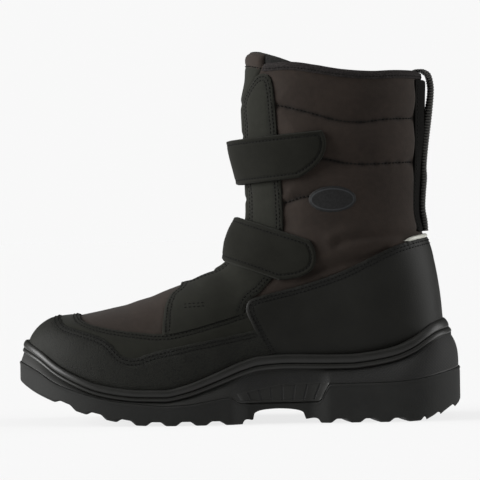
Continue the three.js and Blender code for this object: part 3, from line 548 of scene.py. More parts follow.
class Finish:
    """A Principled material that is built up node by node."""

    def __init__(self, name, **constants):
        self.material = bpy.data.materials.new(name)
        self.material.use_nodes = True
        self.tree = self.material.node_tree
        self.shader = next(n for n in self.tree.nodes if n.type == "BSDF_PRINCIPLED")
        for socket, value in constants.items():
            self.shader.inputs[socket.replace("_", " ").title().replace("Ior", "IOR")].default_value = value
        self.place = self.node("ShaderNodeTexCoord", output="Object")

    def node(self, kind, settings=None, inputs=None, output=0):
        node = self.tree.nodes.new(kind)
        for key, value in (settings or {}).items():
            setattr(node, key, value)
        for key, value in (inputs or {}).items():
            feed(self.tree, node.inputs[key], value)
        return Wire(self.tree, node.outputs[output])

    def noise(self, scale, detail=3.0, roughness=0.5, at=None):
        inputs = {"Vector": at or self.place, "Scale": scale, "Detail": detail, "Roughness": roughness}
        return self.node("ShaderNodeTexNoise", inputs=inputs)

    def cells(self, scale, feature="F1"):
        inputs = {"Vector": self.place, "Scale": scale}
        return self.node("ShaderNodeTexVoronoi", {"feature": feature}, inputs, "Distance")

    def stored(self, name):
        return self.node("ShaderNodeAttribute", {"attribute_name": name}, output="Fac")

    def blend(self, share, low, high):
        """A colour between two colours."""
        node = self.tree.nodes.new("ShaderNodeMix")
        node.data_type = "RGBA"
        colours = [s for s in node.inputs if s.type == "RGBA"]
        feed(self.tree, node.inputs[0], share)
        for socket, colour in zip(colours, (low, high)):
            feed(self.tree, socket, colour if isinstance(colour, Wire) else (*colour, 1.0))
        return Wire(self.tree, next(s for s in node.outputs if s.type == "RGBA"))

    def colour(self, value):
        feed(self.tree, self.shader.inputs["Base Color"], value if isinstance(value, Wire) else (*value, 1.0))

    def roughness(self, value):
        feed(self.tree, self.shader.inputs["Roughness"], value)

    def relief(self, height, depth, strength=1.0):
        """Bump of that depth, in millimetres, for a height from 0 to 1."""
        inputs = {"Height": height, "Distance": depth * MM, "Strength": strength}
        bump = self.node("ShaderNodeBump", inputs=inputs, output="Normal")
        feed(self.tree, self.shader.inputs["Normal"], bump)


def quilted_cloth():
    """Brown peach-faced cloth: a fine close weave under a short nap, with painted shade down in the quilting
    seams.
    """
    cloth = Finish("brown quilted cloth", roughness=0.9, specular_ior_level=0.15, sheen_weight=0.04)
    weave = cloth.noise(1500, 2.0)
    nap = cloth.noise(260, 4.0, 0.6)
    patches = cloth.noise(28, 2.0)
    # The seam mask is 1 on the quilting seams: it darkens the colour there as painted shade, and it also sinks
    # the bump.
    seam = 1 - cloth.stored("seam").ramp(0.3, 2.4)
    tone = (patches * 0.55 + nap * 0.45).ramp(0.25, 0.75)
    plain = cloth.blend(tone, (0.0108, 0.0077, 0.0059), (0.0228, 0.0163, 0.0127))
    cloth.colour(cloth.blend(seam * 0.8, plain, (0.004, 0.0033, 0.0028)))
    cloth.relief(weave * 0.4 + nap * 0.6 - seam * 0.8, 0.3, 0.7)
    return cloth.material


def felt_lining():
    """Dark felt, matt and slightly fleecy."""
    felt = Finish("dark felt lining", roughness=1.0, specular_ior_level=0.1, sheen_weight=0.05)
    fleece = felt.noise(420, 5.0, 0.7)
    felt.colour(felt.blend(fleece.ramp(0.3, 0.7), (0.006, 0.006, 0.006), (0.016, 0.015, 0.014)))
    felt.relief(fleece, 0.8, 0.8)
    return felt.material


upper_inside = np.minimum(collar_inside, throat_outside)
upper = shell("quilted_upper", upper_inside, cloth_relief, -WALL, {"seam": quilt_distance})
finish_piece(upper, ["upper"], quilted_cloth())
upper.data.materials.append(felt_lining())
for face in upper.data.polygons:
    middle = np.array(face.center) / MM
    inwards = np.array(face.normal) @ (middle - (mix(30, 70, smooth_step(40, 120, middle[2])), 0, middle[2]))
    if inwards < 0 and middle[2] > 60 and middle[0] > 0:
        face.material_index = 1


# The stitching: black thread in rows along every panel's edge, pulled a little into the surface. Each row
# follows a line at a set distance from the edge, found on the skin's grid, and one stitch is copied along
# it. The quilting seams come first, and each panel's rows are sewn with the panel.

STITCH_LENGTH = 1.9
STITCH_PITCH = 2.7
STITCH_RADIUS = 0.42


def contour(field, at, keep, offset, surface=None):
    """Lines where a field on the skin has a value, as points and normals, only where keep is above 0."""
    offset = np.broadcast_to(offset, field.shape)
    points, normals = surface or (skin, skin_normal)
    keep = keep.astype(float)
    if surface:
        keep[:, -1] = -1
    data = np.concatenate([points + normals * offset[..., None], normals, keep[..., None]], axis=-1)
    rows, columns = field.shape
    flat, values = (field - at).ravel(), data.reshape(rows * columns, -1)
    cells = grid_cells(rows, columns)
    count = (flat[cells] > 0).sum(axis=1)
    links, places = {}, {}
    for cell in cells[(count > 0) & (count < 4)].tolist():
        crossed = []
        for a, b in zip(cell, cell[1:] + cell[:1]):
            if (flat[a] > 0) == (flat[b] > 0):
                continue
            key = (min(a, b), max(a, b))
            places[key] = mix(values[a], values[b], flat[a] / (flat[a] - flat[b]))
            crossed.append(key)
        if len(crossed) == 2 and all(places[key][6] > 0 for key in crossed):
            links.setdefault(crossed[0], []).append(crossed[1])
            links.setdefault(crossed[1], []).append(crossed[0])
    lines = []
    while links:
        start = next((key for key, ends in links.items() if len(ends) == 1), next(iter(links)))
        line = [start]
        while line[-1] in links:
            ends = links.pop(line[-1])
            onward = [key for key in ends if key in links]
            if not onward:
                break
            line.append(onward[0])
        if len(line) > 4:
            lines.append(np.array([places[key] for key in line]))
    return lines


def even_steps(line, pitch):
    """A line's points, normals and directions at even steps."""
    length = np.concatenate([[0], np.cumsum(np.linalg.norm(np.diff(line[:, :3], axis=0), axis=1))])
    count = max(2, int(length[-1] / pitch))
    steps = np.linspace(0, length[-1], count + 1)
    values = np.stack([np.interp(steps, length, line[:, k]) for k in range(6)], axis=1)
    points, normals = values[:, :3], unit(values[:, 3:6])
    return (points[1:] + points[:-1]) / 2, unit(normals[1:] + normals[:-1]), unit(np.diff(points, axis=0))


def stitch_shape(length, radius):
    """One stitch lying along X: a rounded bar whose ends dip, as points and faces."""
    places = [(-0.5, 0.12, -0.8), (-0.4, 0.8, -0.15), (0, 1, 0.1), (0.4, 0.8, -0.15), (0.5, 0.12, -0.8)]
    turn = np.linspace(0, 2 * math.pi, 7)[:-1]
    points = [
        (x * length, np.cos(a) * width * radius, (np.sin(a) * width + lift) * radius)
        for x, width, lift in places for a in turn
    ]
    faces = [
        [r * 6 + k, (r + 1) * 6 + k, (r + 1) * 6 + (k + 1) % 6, r * 6 + (k + 1) % 6]
        for r in range(len(places) - 1) for k in range(6)
    ]
    return np.array(points), faces + [[0, 1, 2, 3, 4, 5], [29, 28, 27, 26, 25, 24]]


def stitch_rows(inside, rows, seen, height):
    """Lines at those distances inside a panel's edge, where seen is above 0."""
    return [line for row in rows for line in contour(inside, row, seen, height)]


def sew(name, lines, material, pitch=STITCH_PITCH, length=STITCH_LENGTH, radius=STITCH_RADIUS):
    """Copies one stitch along each line and joins them as one piece."""
    shape, shape_faces = stitch_shape(length, radius)
    points, faces = [], []
    for line in lines:
        for point, normal, along in zip(*even_steps(line, pitch)):
            basis = np.stack([along, unit(np.cross(normal, along)), normal])
            start = len(points) * len(shape)
            points.append(shape @ basis + point)
            faces.extend([[start + v for v in face] for face in shape_faces])
    made = make_object(name, np.vstack(points), faces)
    return finish_piece(made, [], material)


def thread(name, colour):
    sewn = Finish(name, roughness=0.8, specular_ior_level=0.1)
    sewn.colour(colour)
    return sewn.material


black_thread = thread("black thread", (0.0035, 0.0035, 0.003))
seam_lines = []
for rows in QUILT_SEAMS:
    line = smooth_line(rows)
    keep = np.where(covered | (skin[..., 0] < line[0, 0]) | (skin[..., 0] > line[-1, 0]), -1.0, 1.0)
    seam_lines += contour(depth_under(line), 0, keep, cloth_relief + 0.3)
sew("quilting_stitches", seam_lines, black_thread, 2.8, 2.0, 0.42)


# The toe guard: pebbled rubber round the toe and along both sides, tucked behind the sole's rim and sewn
# twice along its top edge.

CLEARANCE = 0.3
RAND_THICKNESS = 1.8
RAND_ROWS = (2.3, 4.7)
EDGE_ROUND = 1.3
TUCK = 6
OVERLAP = 2
UNDERSIDE = -0.4


def edge_profile(distance, reach=EDGE_ROUND):
    """From 0.3 at a panel's edge to 1 where its rounding ends."""
    return 0.3 + 0.7 * rounding(distance, reach)


def stitch_groove(distance, rows, depth=0.4, width=0.8):
    return -depth * sum(hump(distance - row, width) for row in rows)


def row_shade(distance, rows):
    """1 along the rows of stitches and 0 away from them, for painted shade in the grooves that they lie in."""
    return sum(hump(distance - row, 0.9) for row in rows)


def pebbled_rubber():
    """Black rubber with a coarse pebbled grain."""
    rubber = Finish("pebbled rubber", roughness=0.7, specular_ior_level=0.14)
    grain = rubber.cells(1250)
    fine = rubber.noise(900, 3.0)
    tone = rubber.noise(60, 3.0)
    height = 1 - grain * 1.2 + fine * 0.2
    base = rubber.blend(tone.ramp(0.3, 0.7), (0.0074, 0.0077, 0.0058), (0.0116, 0.0120, 0.0094))
    # Painted shade: the pits between the pebbles and the stitch rows' grooves are darkened in the colour.
    pit_shade = grain.ramp(0.35, 0.85)
    rows = rubber.stored("rows").ramp(0.2, 0.8)
    rubber.colour(rubber.blend(pit_shade.maths("MAXIMUM", rows * 0.7), base, (0.0035, 0.0035, 0.003)))
    rubber.relief(height, 0.22, 0.8)
    return rubber.material


rand_field = np.minimum.reduce([rand_inside, TUCK - rim_inside, OVERLAP - counter_inside])
rand_height = CLEARANCE + RAND_THICKNESS * edge_profile(rand_inside) + stitch_groove(rand_inside, RAND_ROWS)
rand = shell("toe_guard", rand_field, rand_height, UNDERSIDE, {"rows": row_shade(rand_inside, RAND_ROWS)})
finish_piece(rand, ["toe_rand"], pebbled_rubber())
rand_seen = np.minimum(-counter_inside - 1, 3 - rim_inside)
rand_lines = stitch_rows(rand_inside, RAND_ROWS, rand_seen, rand_height)
sew("toe_guard_stitches", rand_lines, black_thread)


# The vamp band: a strip of black nubuck that covers the cloth's lower edge above the toe guard, sewn twice.

BAND_THICKNESS = 1.2
BAND_ROWS = (1.9, 4.1)


def nubuck(name, low, high):
    """Black nubuck with a faint green cast: a very fine nap, brushed a little lighter in patches."""
    leather = Finish(name, roughness=0.9, specular_ior_level=0.09, sheen_weight=0.03)
    nap = leather.noise(1300, 3.0, 0.7)
    brushed = leather.noise(150, 4.0, 0.65)
    tone = leather.noise(22, 2.0)
    share = (nap * 0.4 + brushed * 0.35 + tone * 0.25).ramp(0.3, 0.7)
    plain = leather.blend(share, low, high)
    edge = leather.stored("edge").ramp(0.3, 0.9)
    # Painted shade: the stitch rows' grooves are darkened in the colour.
    rows = leather.stored("rows").ramp(0.2, 0.8)
    plain = leather.blend(edge * 0.5, plain, (0.024, 0.0245, 0.021))
    leather.colour(leather.blend(rows * 0.45, plain, (0.004, 0.004, 0.0035)))
    leather.relief(nap * 0.5 + brushed * 0.5, 0.3, 0.6)
    return leather.material


nubuck_finish = nubuck("black nubuck", (0.0076, 0.0078, 0.0059), (0.0140, 0.0142, 0.0110))
band_field = np.minimum.reduce([band_inside, 5 - rand_inside, OVERLAP - counter_inside])
band_height = CLEARANCE + BAND_THICKNESS * edge_profile(band_inside) + stitch_groove(band_inside, BAND_ROWS)
band_height = np.where(rand_inside > -0.5, np.minimum(band_height, 1.3), band_height)
band = shell("vamp_strip", band_field, band_height, UNDERSIDE, {"rows": row_shade(band_inside, BAND_ROWS)})
finish_piece(band, ["vamp_band"], nubuck_finish)
band_seen = np.minimum(-counter_inside - 1, -rand_inside - 1)
band_lines = stitch_rows(band_inside, BAND_ROWS, band_seen, band_height)
sew("vamp_strip_stitches", band_lines, black_thread)


# The facings: on each side one panel of nubuck, from the saddle over the instep up along the throat to a
# rounded tab under the collar. A double row runs up its back edge and along the saddle's front.

FACING_THICKNESS = 1.5
FACING_ROWS = (2.1, 4.6)
split_inside = slot_distance(FACING_SPLIT, margin=0.5)
facing_field = np.minimum.reduce([facing_inside, 1 - band_inside, OVERLAP - counter_inside, -split_inside])
facing_edge = np.minimum(facing_inside, -split_inside)
facing_height = CLEARANCE + FACING_THICKNESS * edge_profile(facing_edge)
facing_height = facing_height + stitch_groove(facing_edge, FACING_ROWS)
facing_creases = [
    ([(0.4, 0.86), (0.44, 0.8), (0.5, 0.78)], 0.5, 4.0),
    ([(0.46, 0.94), (0.5, 0.87), (0.56, 0.86)], 0.5, 4.5),
    ([(0.53, 1.33), (0.57, 1.3), (0.6, 1.31)], 0.4, 4.5),
    ([(0.53, 1.66), (0.57, 1.63), (0.6, 1.64)], 0.4, 4.5),
]
for rows, depth, width in facing_creases:
    facing_height = facing_height - depth * hump(line_distance(smooth_line(rows)), width)
facing_seen = np.minimum.reduce([-band_inside - 0.5, -counter_inside - 1, facing_field])
facing_shade = {"rows": row_shade(facing_edge, FACING_ROWS)}
for side, sign in (("lateral", -1), ("medial", 1)):
    half = np.minimum(facing_field, sign * skin[..., 1] + 3)
    facing = shell(f"{side}_saddle", half, facing_height, UNDERSIDE, facing_shade)
    finish_piece(facing, [f"facing_{side}"], nubuck_finish)
facing_lines = stitch_rows(facing_edge, FACING_ROWS, facing_seen, facing_height)
sew("facing_stitches", facing_lines, black_thread)
tack = [(0.374, 0.716), (0.405, 0.722), (0.43, 0.728)]
for lift in (0, 2.2):
    tack_line = smooth_line(tack, lift=lift)
    keep = np.where((skin[..., 0] > tack_line[0, 0]) & (skin[..., 0] < tack_line[-1, 0]), 1.0, -1.0)
    tack_lines = contour(depth_under(tack_line), 0, np.minimum(keep, facing_field), facing_height)
    sew(f"saddle_tack_{lift:.0f}", tack_lines, black_thread)


# The heel counter: black leather with a smooth coat, moulded round the heel over everything else and sewn
# twice along its top and front edges.

COUNTER_THICKNESS = 2.0
COUNTER_ROWS = (2.2, 4.6)


def coated_leather():
    """Black leather under a thin smooth coat, with a soft shine and a barely visible grain."""
    leather = Finish("coated black leather", roughness=0.5, specular_ior_level=0.13)
    grain = leather.cells(1500, "SMOOTH_F1")
    wide = leather.noise(45, 3.0)
    plain = leather.blend(wide.ramp(0.3, 0.7), (0.0066, 0.0066, 0.0055), (0.0092, 0.0092, 0.0078))
    # Painted shade: the stitch rows' grooves are darkened in the colour.
    rows = leather.stored("rows").ramp(0.2, 0.8)
    leather.colour(leather.blend(rows * 0.5, plain, (0.003, 0.003, 0.003)))
    leather.roughness(0.46 + wide * 0.14)
    leather.relief(1 - grain, 0.12, 0.5)
    return leather.material


coated = coated_leather()
counter_field = np.minimum(counter_inside, TUCK - rim_inside)
counter_height = CLEARANCE + COUNTER_THICKNESS * edge_profile(counter_inside, 1.6)
counter_height = counter_height + stitch_groove(counter_inside, COUNTER_ROWS, 0.35)
counter_shade = {"rows": row_shade(counter_inside, COUNTER_ROWS)}
counter = shell("heel_cup", counter_field, counter_height, UNDERSIDE, counter_shade)
finish_piece(counter, ["heel_counter"], coated)
counter_lines = stitch_rows(counter_inside, COUNTER_ROWS, 3 - rim_inside, counter_height)
sew("heel_cup_stitches", counter_lines, black_thread)


# The reflective piping: a light grey cord let into the seam over the back of the counter.

PIPING_RADIUS = 1.5
PIPING_START = 0.903


def tube(name, line, radius, sides=12):
    """A round bar along a line, thinned to a closed point at both ends."""
    points, normals = line[:, :3], unit(line[:, 3:6])
    along = unit(np.gradient(points, axis=0))
    aside = unit(np.cross(along, normals))
    share = np.linspace(0, 1, len(points))
    from_end = np.minimum(share, 1 - share) * 9
    width = np.maximum(radius * (1 - (1 - np.minimum(from_end, 1)) ** 2), 0.05)
    turn = np.linspace(0, 2 * math.pi, sides, endpoint=False)
    rings = points[:, None] + width[:, None, None] * (
        np.cos(turn)[None, :, None] * aside[:, None] + np.sin(turn)[None, :, None] * normals[:, None]
    )
    count = len(points)
    made = make_object(name, rings.reshape(-1, 3), ring_faces(count, sides) + flat_ends(count, sides))
    turn_outwards(made)
    return made


def reflective_tape():
    tape = Finish("reflective grey tape", roughness=0.38)
    beads = tape.cells(3000)
    tape.colour(tape.blend(beads.ramp(0.1, 0.6), (0.47, 0.47, 0.42), (0.37, 0.37, 0.33)))
    return tape.material


reflective = reflective_tape()
piping_keep = skin[..., 0] - x_at(PIPING_START)
piping_line = max(contour(counter_inside, -1.2, piping_keep, 0.9), key=len)
piping = tube("reflective_piping", piping_line, PIPING_RADIUS)
finish_piece(piping, ["heel_piping"], reflective)


# The collar binding: woven tape folded over the raw edge of the collar and sewn through once.

BINDING_HEIGHT = 4.6
BINDING_HALF = 3.1
BINDING_ROW = 3.9


def woven_tape(name, low, high):
    """Black tape with a small twill rib."""
    tape = Finish(name, roughness=0.9, specular_ior_level=0.06)
    rib = tape.noise(1100, 1.0)
    tape.colour(tape.blend(rib.ramp(0.3, 0.7), low, high))
    tape.relief(rib, 0.1, 0.6)
    return tape.material


binding_finish = woven_tape("black binding tape", (0.0100, 0.0088, 0.0086), (0.0250, 0.0222, 0.0217))
binding_top = below(COLLAR, lift=1.1)
binding_field = np.minimum.reduce([binding_top, BINDING_HEIGHT + 1 - binding_top, throat_outside - 1])
lower_round = 0.72 + 0.28 * np.clip((BINDING_HEIGHT + 1 - binding_top) / 0.8, 0, 1)
binding_half = BINDING_HALF * np.maximum(rounding(binding_top, 2.6), 0.15) * lower_round
binding_outer = -WALL / 2 + binding_half + stitch_groove(binding_top, (BINDING_ROW,), 0.3, 0.6)
binding = shell("collar_tape", binding_field, binding_outer, -WALL / 2 - binding_half)
finish_piece(binding, ["collar_binding"], binding_finish)
binding_lines = contour(binding_top, BINDING_ROW, throat_outside - 2, binding_outer)
sew("collar_stitches", binding_lines, black_thread, 2.4, 1.9, 0.3)


# The tongue: a padded, quilted flap inside the throat. Its middle fills the gap between the facings and its
# wings lie inside the wall. It stands a little higher than the collar.

TONGUE_TOP = [(0.45, 2.0), (0.535, 1.996), (0.56, 1.985), (0.598, 1.962), (0.639, 1.932), (0.7, 1.885)]
TONGUE_SEAMS = (1.3, 1.45, 1.6, 1.75)
TONGUE_WING = 7
tongue_below = below(TONGUE_TOP)
tongue_slot = slot_distance(THROAT_START, margin=CLEARANCE)
across_tongue = [smooth_line([(0.4, height), (0.56, height), (0.7, height)]) for height in TONGUE_SEAMS]
tongue_seams = np.min([true_distance(line_distance(line)) for line in across_tongue], axis=0)
middle_field = np.minimum(tongue_below, tongue_slot)
middle_round = rounding(middle_field, 5)
lean_in = 2.6 * smooth_step(level(1.74), level(1.88), skin[..., 2])
middle_outer = -4.5 + 5.6 * middle_round - 0.9 * hump(tongue_seams, 2) * middle_round - lean_in


def above_cuff_seam(x, z):
    """Height over the seam that joins the tongue to its brown cuff, which slopes down towards the heel."""
    return z - float(level(1.925)) + 0.3 * (x - x_at(0.54))


cuff_low = above_cuff_seam(skin[..., 0], skin[..., 2])
middle_outer = middle_outer - 0.7 * hump(cuff_low, 1.6) * middle_round
tongue_middle = shell("tongue_pad", middle_field, middle_outer, -WALL - 2.9, {"seam": tongue_seams})
finish_piece(tongue_middle, [], nubuck_finish)
tongue_middle.data.materials.append(bpy.data.materials["brown quilted cloth"])
tongue_middle.data.materials.append(bpy.data.materials["dark felt lining"])
for face in tongue_middle.data.polygons:
    x, _, z = np.array(face.center) / MM
    if face.normal[0] > 0.25:
        face.material_index = 2
    elif above_cuff_seam(x, z) > 0:
        face.material_index = 1
cuff_lines = contour(cuff_low, 0, middle_field - 1.5, middle_outer + 0.2)
sew("tongue_cuff_stitches", cuff_lines, black_thread)
wing_margin = -TONGUE_WING - 8 * smooth_step(level(1.7), level(1.9), skin[..., 2])
wing_field = np.minimum(tongue_below, slot_distance(THROAT_START - 0.7, margin=wing_margin))
wing_round = rounding(wing_field, 1.4)
tongue_wings = shell(
    "tongue_wings", wing_field, -WALL - 1.6 + 1.2 * wing_round, -WALL - 1.6 - 1.3 * wing_round
)
finish_piece(tongue_wings, ["tongue"], bpy.data.materials["dark felt lining"])


# The straps: two broad straps of nubuck over foam, each sewn down inside and carried across the tongue in a
# free bow to a rounded end that closes with a touch fastener on the outer side.

STRAP_THICKNESS = 2.4
STRAP_END_POWER = 3.5
STRAP_ROW = 3.2
STRAPS = {
    "strap_upper": {
        "top": (0.485, 1.574, 0.085), "bottom": (0.508, 1.365, 0.094),
        "tip": 0.725, "lower_round": 0.066, "upper_round": 0.013, "anchor": 0.615, "bulge": 0.4,
    },
    "strap_lower": {
        "top": (0.503, 1.224, -0.345), "bottom": (0.47, 1.002, -0.34),
        "tip": 0.7, "lower_round": 0.095, "upper_round": 0.017, "anchor": 0.6, "bulge": 2.0,
    },
}
STRAP_BASE = CLEARANCE + 1.5 + CLEARANCE


def station_on_plane(x0, z0, slope, angle):
    """Where the last's line at each angle crosses the plane z = z0 + slope (x - x0)."""
    low, high = np.full(angle.shape, float(HEEL_ROW - 3)), np.full(angle.shape, float(LAST_ROW))
    for _ in range(30):
        middle = (low + high) / 2
        point = last_at(middle, angle)
        under = point[..., 2] < z0 + slope * (point[..., 0] - x0)
        low, high = np.where(under, middle, low), np.where(under, high, middle)
    return (low + high) / 2


def angle_at(x0, z0, slope, x, side):
    """The angle, on that side, at which the plane's line round the last reaches x."""
    near, far = np.zeros(x0.shape), np.full(x0.shape, math.pi * 0.8)
    for _ in range(24):
        middle = (near + far) / 2
        point = last_at(station_on_plane(x0, z0, slope, side * middle), side * middle)
        short = point[..., 0] < x
        near, far = np.where(short, middle, near), np.where(short, far, middle)
    return side * near


def strap_surface(strap, share, run, offset):
    """Points of a strap: share across from its top edge, run along from its free end."""
    (x_top, z_top, k_top), (x_low, z_low, k_low) = strap["top"], strap["bottom"]
    x0, slope = mix(x_at(x_top), x_at(x_low), share), mix(k_top, k_low, share)
    z0 = mix(level(z_top), level(z_low), share)
    rounded = strap["lower_round"] * share ** STRAP_END_POWER + strap["upper_round"] * (1 - share) ** 6
    reach = strap["tip"] - rounded
    free = angle_at(x0[:, :1], z0[:, :1], slope[:, :1], x_at(reach[:, :1]), 1)
    sewn = angle_at(x0[:, :1], z0[:, :1], slope[:, :1], float(x_at(strap["anchor"])), -1)
    angle = mix(free, sewn, run)
    station = station_on_plane(x0, z0, slope, angle)
    point = last_at(station, angle) + last_normal(station, angle) * offset[..., None]
    shin_station = station_on_plane(x0, z0, slope, np.zeros_like(angle))
    shin_normal = last_normal(shin_station, np.zeros_like(angle)) * (STRAP_BASE + STRAP_THICKNESS)
    shin = last_at(shin_station, np.zeros_like(angle)) + shin_normal
    bow = shin[..., 0] - x0 + strap["bulge"] * np.sin(math.pi * share)
    bow = bow * (1 - smooth_step(0.15, 1.25, np.abs(angle)))
    point[..., 0] -= bow
    point[..., 2] -= bow * slope
    return point


def grid_faces(rows, columns):
    return [
        [r * columns + c, r * columns + c + 1, (r + 1) * columns + c + 1, (r + 1) * columns + c]
        for r in range(rows - 1) for c in range(columns - 1)
    ]


# The straps' nubuck is a darker copy of the facings': painted shade for the straps, which face the unlit front.
shaded_strap_nubuck = nubuck("black strap nubuck painted darker", (0.0045, 0.0045, 0.0032), (0.0086, 0.0086, 0.0064))
for name, strap in STRAPS.items():
    across_steps, along_steps = 46, 190
    share = (1 - np.cos(np.linspace(0, math.pi, across_steps))) / 2
    share = mix(share, np.linspace(0, 1, across_steps), 0.45)
    end = 1 - np.cos(np.linspace(0, math.pi / 2, 24))
    run = np.concatenate([0.06 * end, np.linspace(0.06, 1, along_steps - 23)[1:]])
    share_grid, run_grid = np.meshgrid(share, run, indexing="ij")
    flat = strap_surface(strap, share_grid, run_grid, np.full(share_grid.shape, STRAP_BASE))
    border = np.vstack([flat[0], flat[-1], flat[:, 0]])
    edge = np.full(share_grid.shape, 1e9)
    for point in border[::2]:
        edge = np.minimum(edge, np.linalg.norm(flat - point, axis=-1))
    edge[0] = edge[-1] = 0
    edge[:, 0] = 0
    rounded = 0.12 + 0.88 * rounding(edge, 1.2)
    dip = stitch_groove(edge, (STRAP_ROW,), 0.45)
    sag = 0.35 * np.sin(run_grid * 23 + share_grid * 4) * np.sin(share_grid * math.pi)
    sag = sag * smooth_step(0.02, 0.2, run_grid)
    outer = strap_surface(strap, share_grid, run_grid, STRAP_BASE + STRAP_THICKNESS * rounded + dip + sag)
    inner = strap_surface(strap, share_grid, run_grid, STRAP_BASE + STRAP_THICKNESS * 0.5 * (1 - rounded))
    count = share_grid.size
    faces = grid_faces(*share_grid.shape)
    turned = [[v + count for v in reversed(face)] for face in faces]
    every = faces + turned + rim_faces(faces, count)
    # rows carries painted shade for the stitch row's groove; edge lightens the colour along the strap's edges.
    row_shade_and_edge_tone = {"rows": row_shade(edge, (STRAP_ROW,)), "edge": hump(edge, 0.8)}
    row_shade_and_edge_tone = {key: np.tile(value.ravel(), 2) for key, value in row_shade_and_edge_tone.items()}
    sheets = np.vstack([outer.reshape(-1, 3), inner.reshape(-1, 3)])
    made = make_object(f"{name}_leather", sheets, every, row_shade_and_edge_tone)
    turn_outwards(made)
    finish_piece(made, [name], shaded_strap_nubuck)
    down, along = np.gradient(outer, axis=0), np.gradient(outer, axis=1)
    facing_out = unit(np.cross(along, down))
    if (facing_out[across_steps // 2, 30] @ np.array((0, -1, 0))) < 0:
        facing_out = -facing_out
    strap_lines = contour(edge, STRAP_ROW, np.ones_like(edge), 0.0, (outer, facing_out))
    sew(f"{name}_stitches", strap_lines, black_thread)


# The back tape: a broad strip of woven tape over the back seam, under the pull loop. It is padded towards its
# top, where the loop leaves it.

BACKSTAY_THICKNESS = 1.2
BACKSTAY_ROW = 2.2
PIPING_TOP = float(level(1.106)) + 2.9
back_collar = float(level(1.882))
at_back = skin[..., 0] > x_at(0.8)
stay_low = skin[..., 2] - (PIPING_TOP + 1.2)
stay_high = back_collar - BINDING_HEIGHT - 0.2 - skin[..., 2]
stay_side = BACKSTAY_HALF - np.abs(skin[..., 1])
stay_field = np.where(at_back, np.minimum.reduce([stay_low, stay_high, stay_side * 1.15]), -10)
padding = 2.4 * smooth_step(172, 204, skin[..., 2]) * smooth_step(BACKSTAY_HALF, 9, np.abs(skin[..., 1]))
stay_height = CLEARANCE + (BACKSTAY_THICKNESS + padding) * edge_profile(stay_field, 1.0)
stay_height = stay_height + stitch_groove(stay_side, (BACKSTAY_ROW,), 0.25)
stay = shell("back_tape", stay_field, stay_height, -0.8)
stay_finish = woven_tape("black seam tape", (0.0016, 0.0015, 0.0013), (0.0046, 0.0043, 0.0038))
finish_piece(stay, ["backstay"], stay_finish)
stay_lines = contour(stay_side, BACKSTAY_ROW, stay_field, stay_height)
sew("back_tape_stitches", stay_lines, black_thread)


# The pull loop: a length of ribbed webbing sewn inside the collar, carried over it as a finger loop and sewn
# down the back tape to the piping.

# The loop's outer face in side view, from inside the collar over the top and down to the piping: x, z and
# thickness.
LOOP = np.array([
    (120.6, 226, 2.2), (120.8, 237.5, 2.0), (123.5, 242.0, 1.8), (128.5, 242.9, 1.7), (132.6, 242.4, 2.8),
    (136.6, 239.4, 3.8), (138.5, 232, 4.1), (138.5, 224, 4.3), (136.9, 208.5, 5.4), (134.3, 189, 5.0),
    (132.9, 175, 4.3), (133.1, 167, 4.6), (132.1, 156, 4.4), (131.6, 146, 4.4), (132.9, 137, 4.5),
    (133.3, 130, 3.6),
])
LOOP_HALF = 10
LOOP_RIB = 2.0


def webbing():
    """Black webbing of multifilament yarn, with painted highlight on its ribs' crowns and painted shade between
    them.
    """
    band = Finish("black ribbed webbing", roughness=0.6, specular_ior_level=0.25)
    yarn = band.noise(1400, 2.0)
    crown = band.stored("crown")
    base = band.blend(yarn.ramp(0.3, 0.7), (0.040, 0.039, 0.035), (0.078, 0.076, 0.069))
    # Painted highlight on the ribs' crowns and painted shade in the troughs between them.
    band.colour(band.blend(crown.ramp(0.35, 0.95), (0.003, 0.003, 0.003), base))
    band.relief(yarn, 0.08, 0.6)
    return band.material


route = through(LOOP, 24)
length = np.concatenate([[0], np.cumsum(np.linalg.norm(np.diff(route[:, :2], axis=0), axis=1))])
steps = np.linspace(0, length[-1], int(length[-1] / LOOP_RIB * 10))
face_x, face_z, thick = (np.interp(steps, length, route[:, k]) for k in range(3))
along = unit(np.stack([np.gradient(face_x), np.gradient(face_z)], axis=1))
out = np.stack([-along[:, 1], np.zeros(len(along)), along[:, 0]], axis=1)
centre = np.stack([face_x, np.zeros(len(steps)), face_z], axis=1) - out * thick[:, None] / 2
crown = np.abs(np.sin(steps / LOOP_RIB * math.pi))
turn = np.linspace(0, 2 * math.pi, 24, endpoint=False)
side_power = 2 / 5
ring_y = LOOP_HALF * np.sign(np.cos(turn)) * np.abs(np.cos(turn)) ** side_power
ring_out = np.sign(np.sin(turn)) * np.abs(np.sin(turn)) ** side_power
half_thick = thick / 2 * (0.8 + 0.2 * crown)
points = centre[:, None] + out[:, None] * (ring_out[None, :] * half_thick[:, None])[..., None]
points[..., 1] += ring_y[None, :] * (0.97 + 0.03 * crown[:, None])
count, sides = len(steps), len(turn)
faces = ring_faces(count, sides) + flat_ends(count, sides)
loop = make_object("pull_loop_webbing", points.reshape(-1, 3), faces, {"crown": np.repeat(crown, sides)})
turn_outwards(loop)
finish_piece(loop, ["pull_loop"], webbing())


# The badge patch: a moulded oval with a plain raised rim, sewn to the outer side of the shaft.

BADGE = (0.736, 1.29)
BADGE_SIZE = (32, 18)


def moulded_patch():
    """Matt black moulding, its rim line picked out in grey."""
    patch = Finish("moulded patch", roughness=0.65, specular_ior_level=0.15)
    edge = patch.stored("edge")
    line = edge.ramp(1.3, 1.5) * (1 - edge.ramp(2.1, 2.3))
    fine = patch.noise(700, 2.0)
    plain = patch.blend(fine.ramp(0.3, 0.7), (0.007, 0.007, 0.007), (0.012, 0.012, 0.012))
    patch.colour(patch.blend(line * 0.6, plain, (0.034, 0.037, 0.040)))
    patch.relief(fine, 0.15, 0.5)
    return patch.material


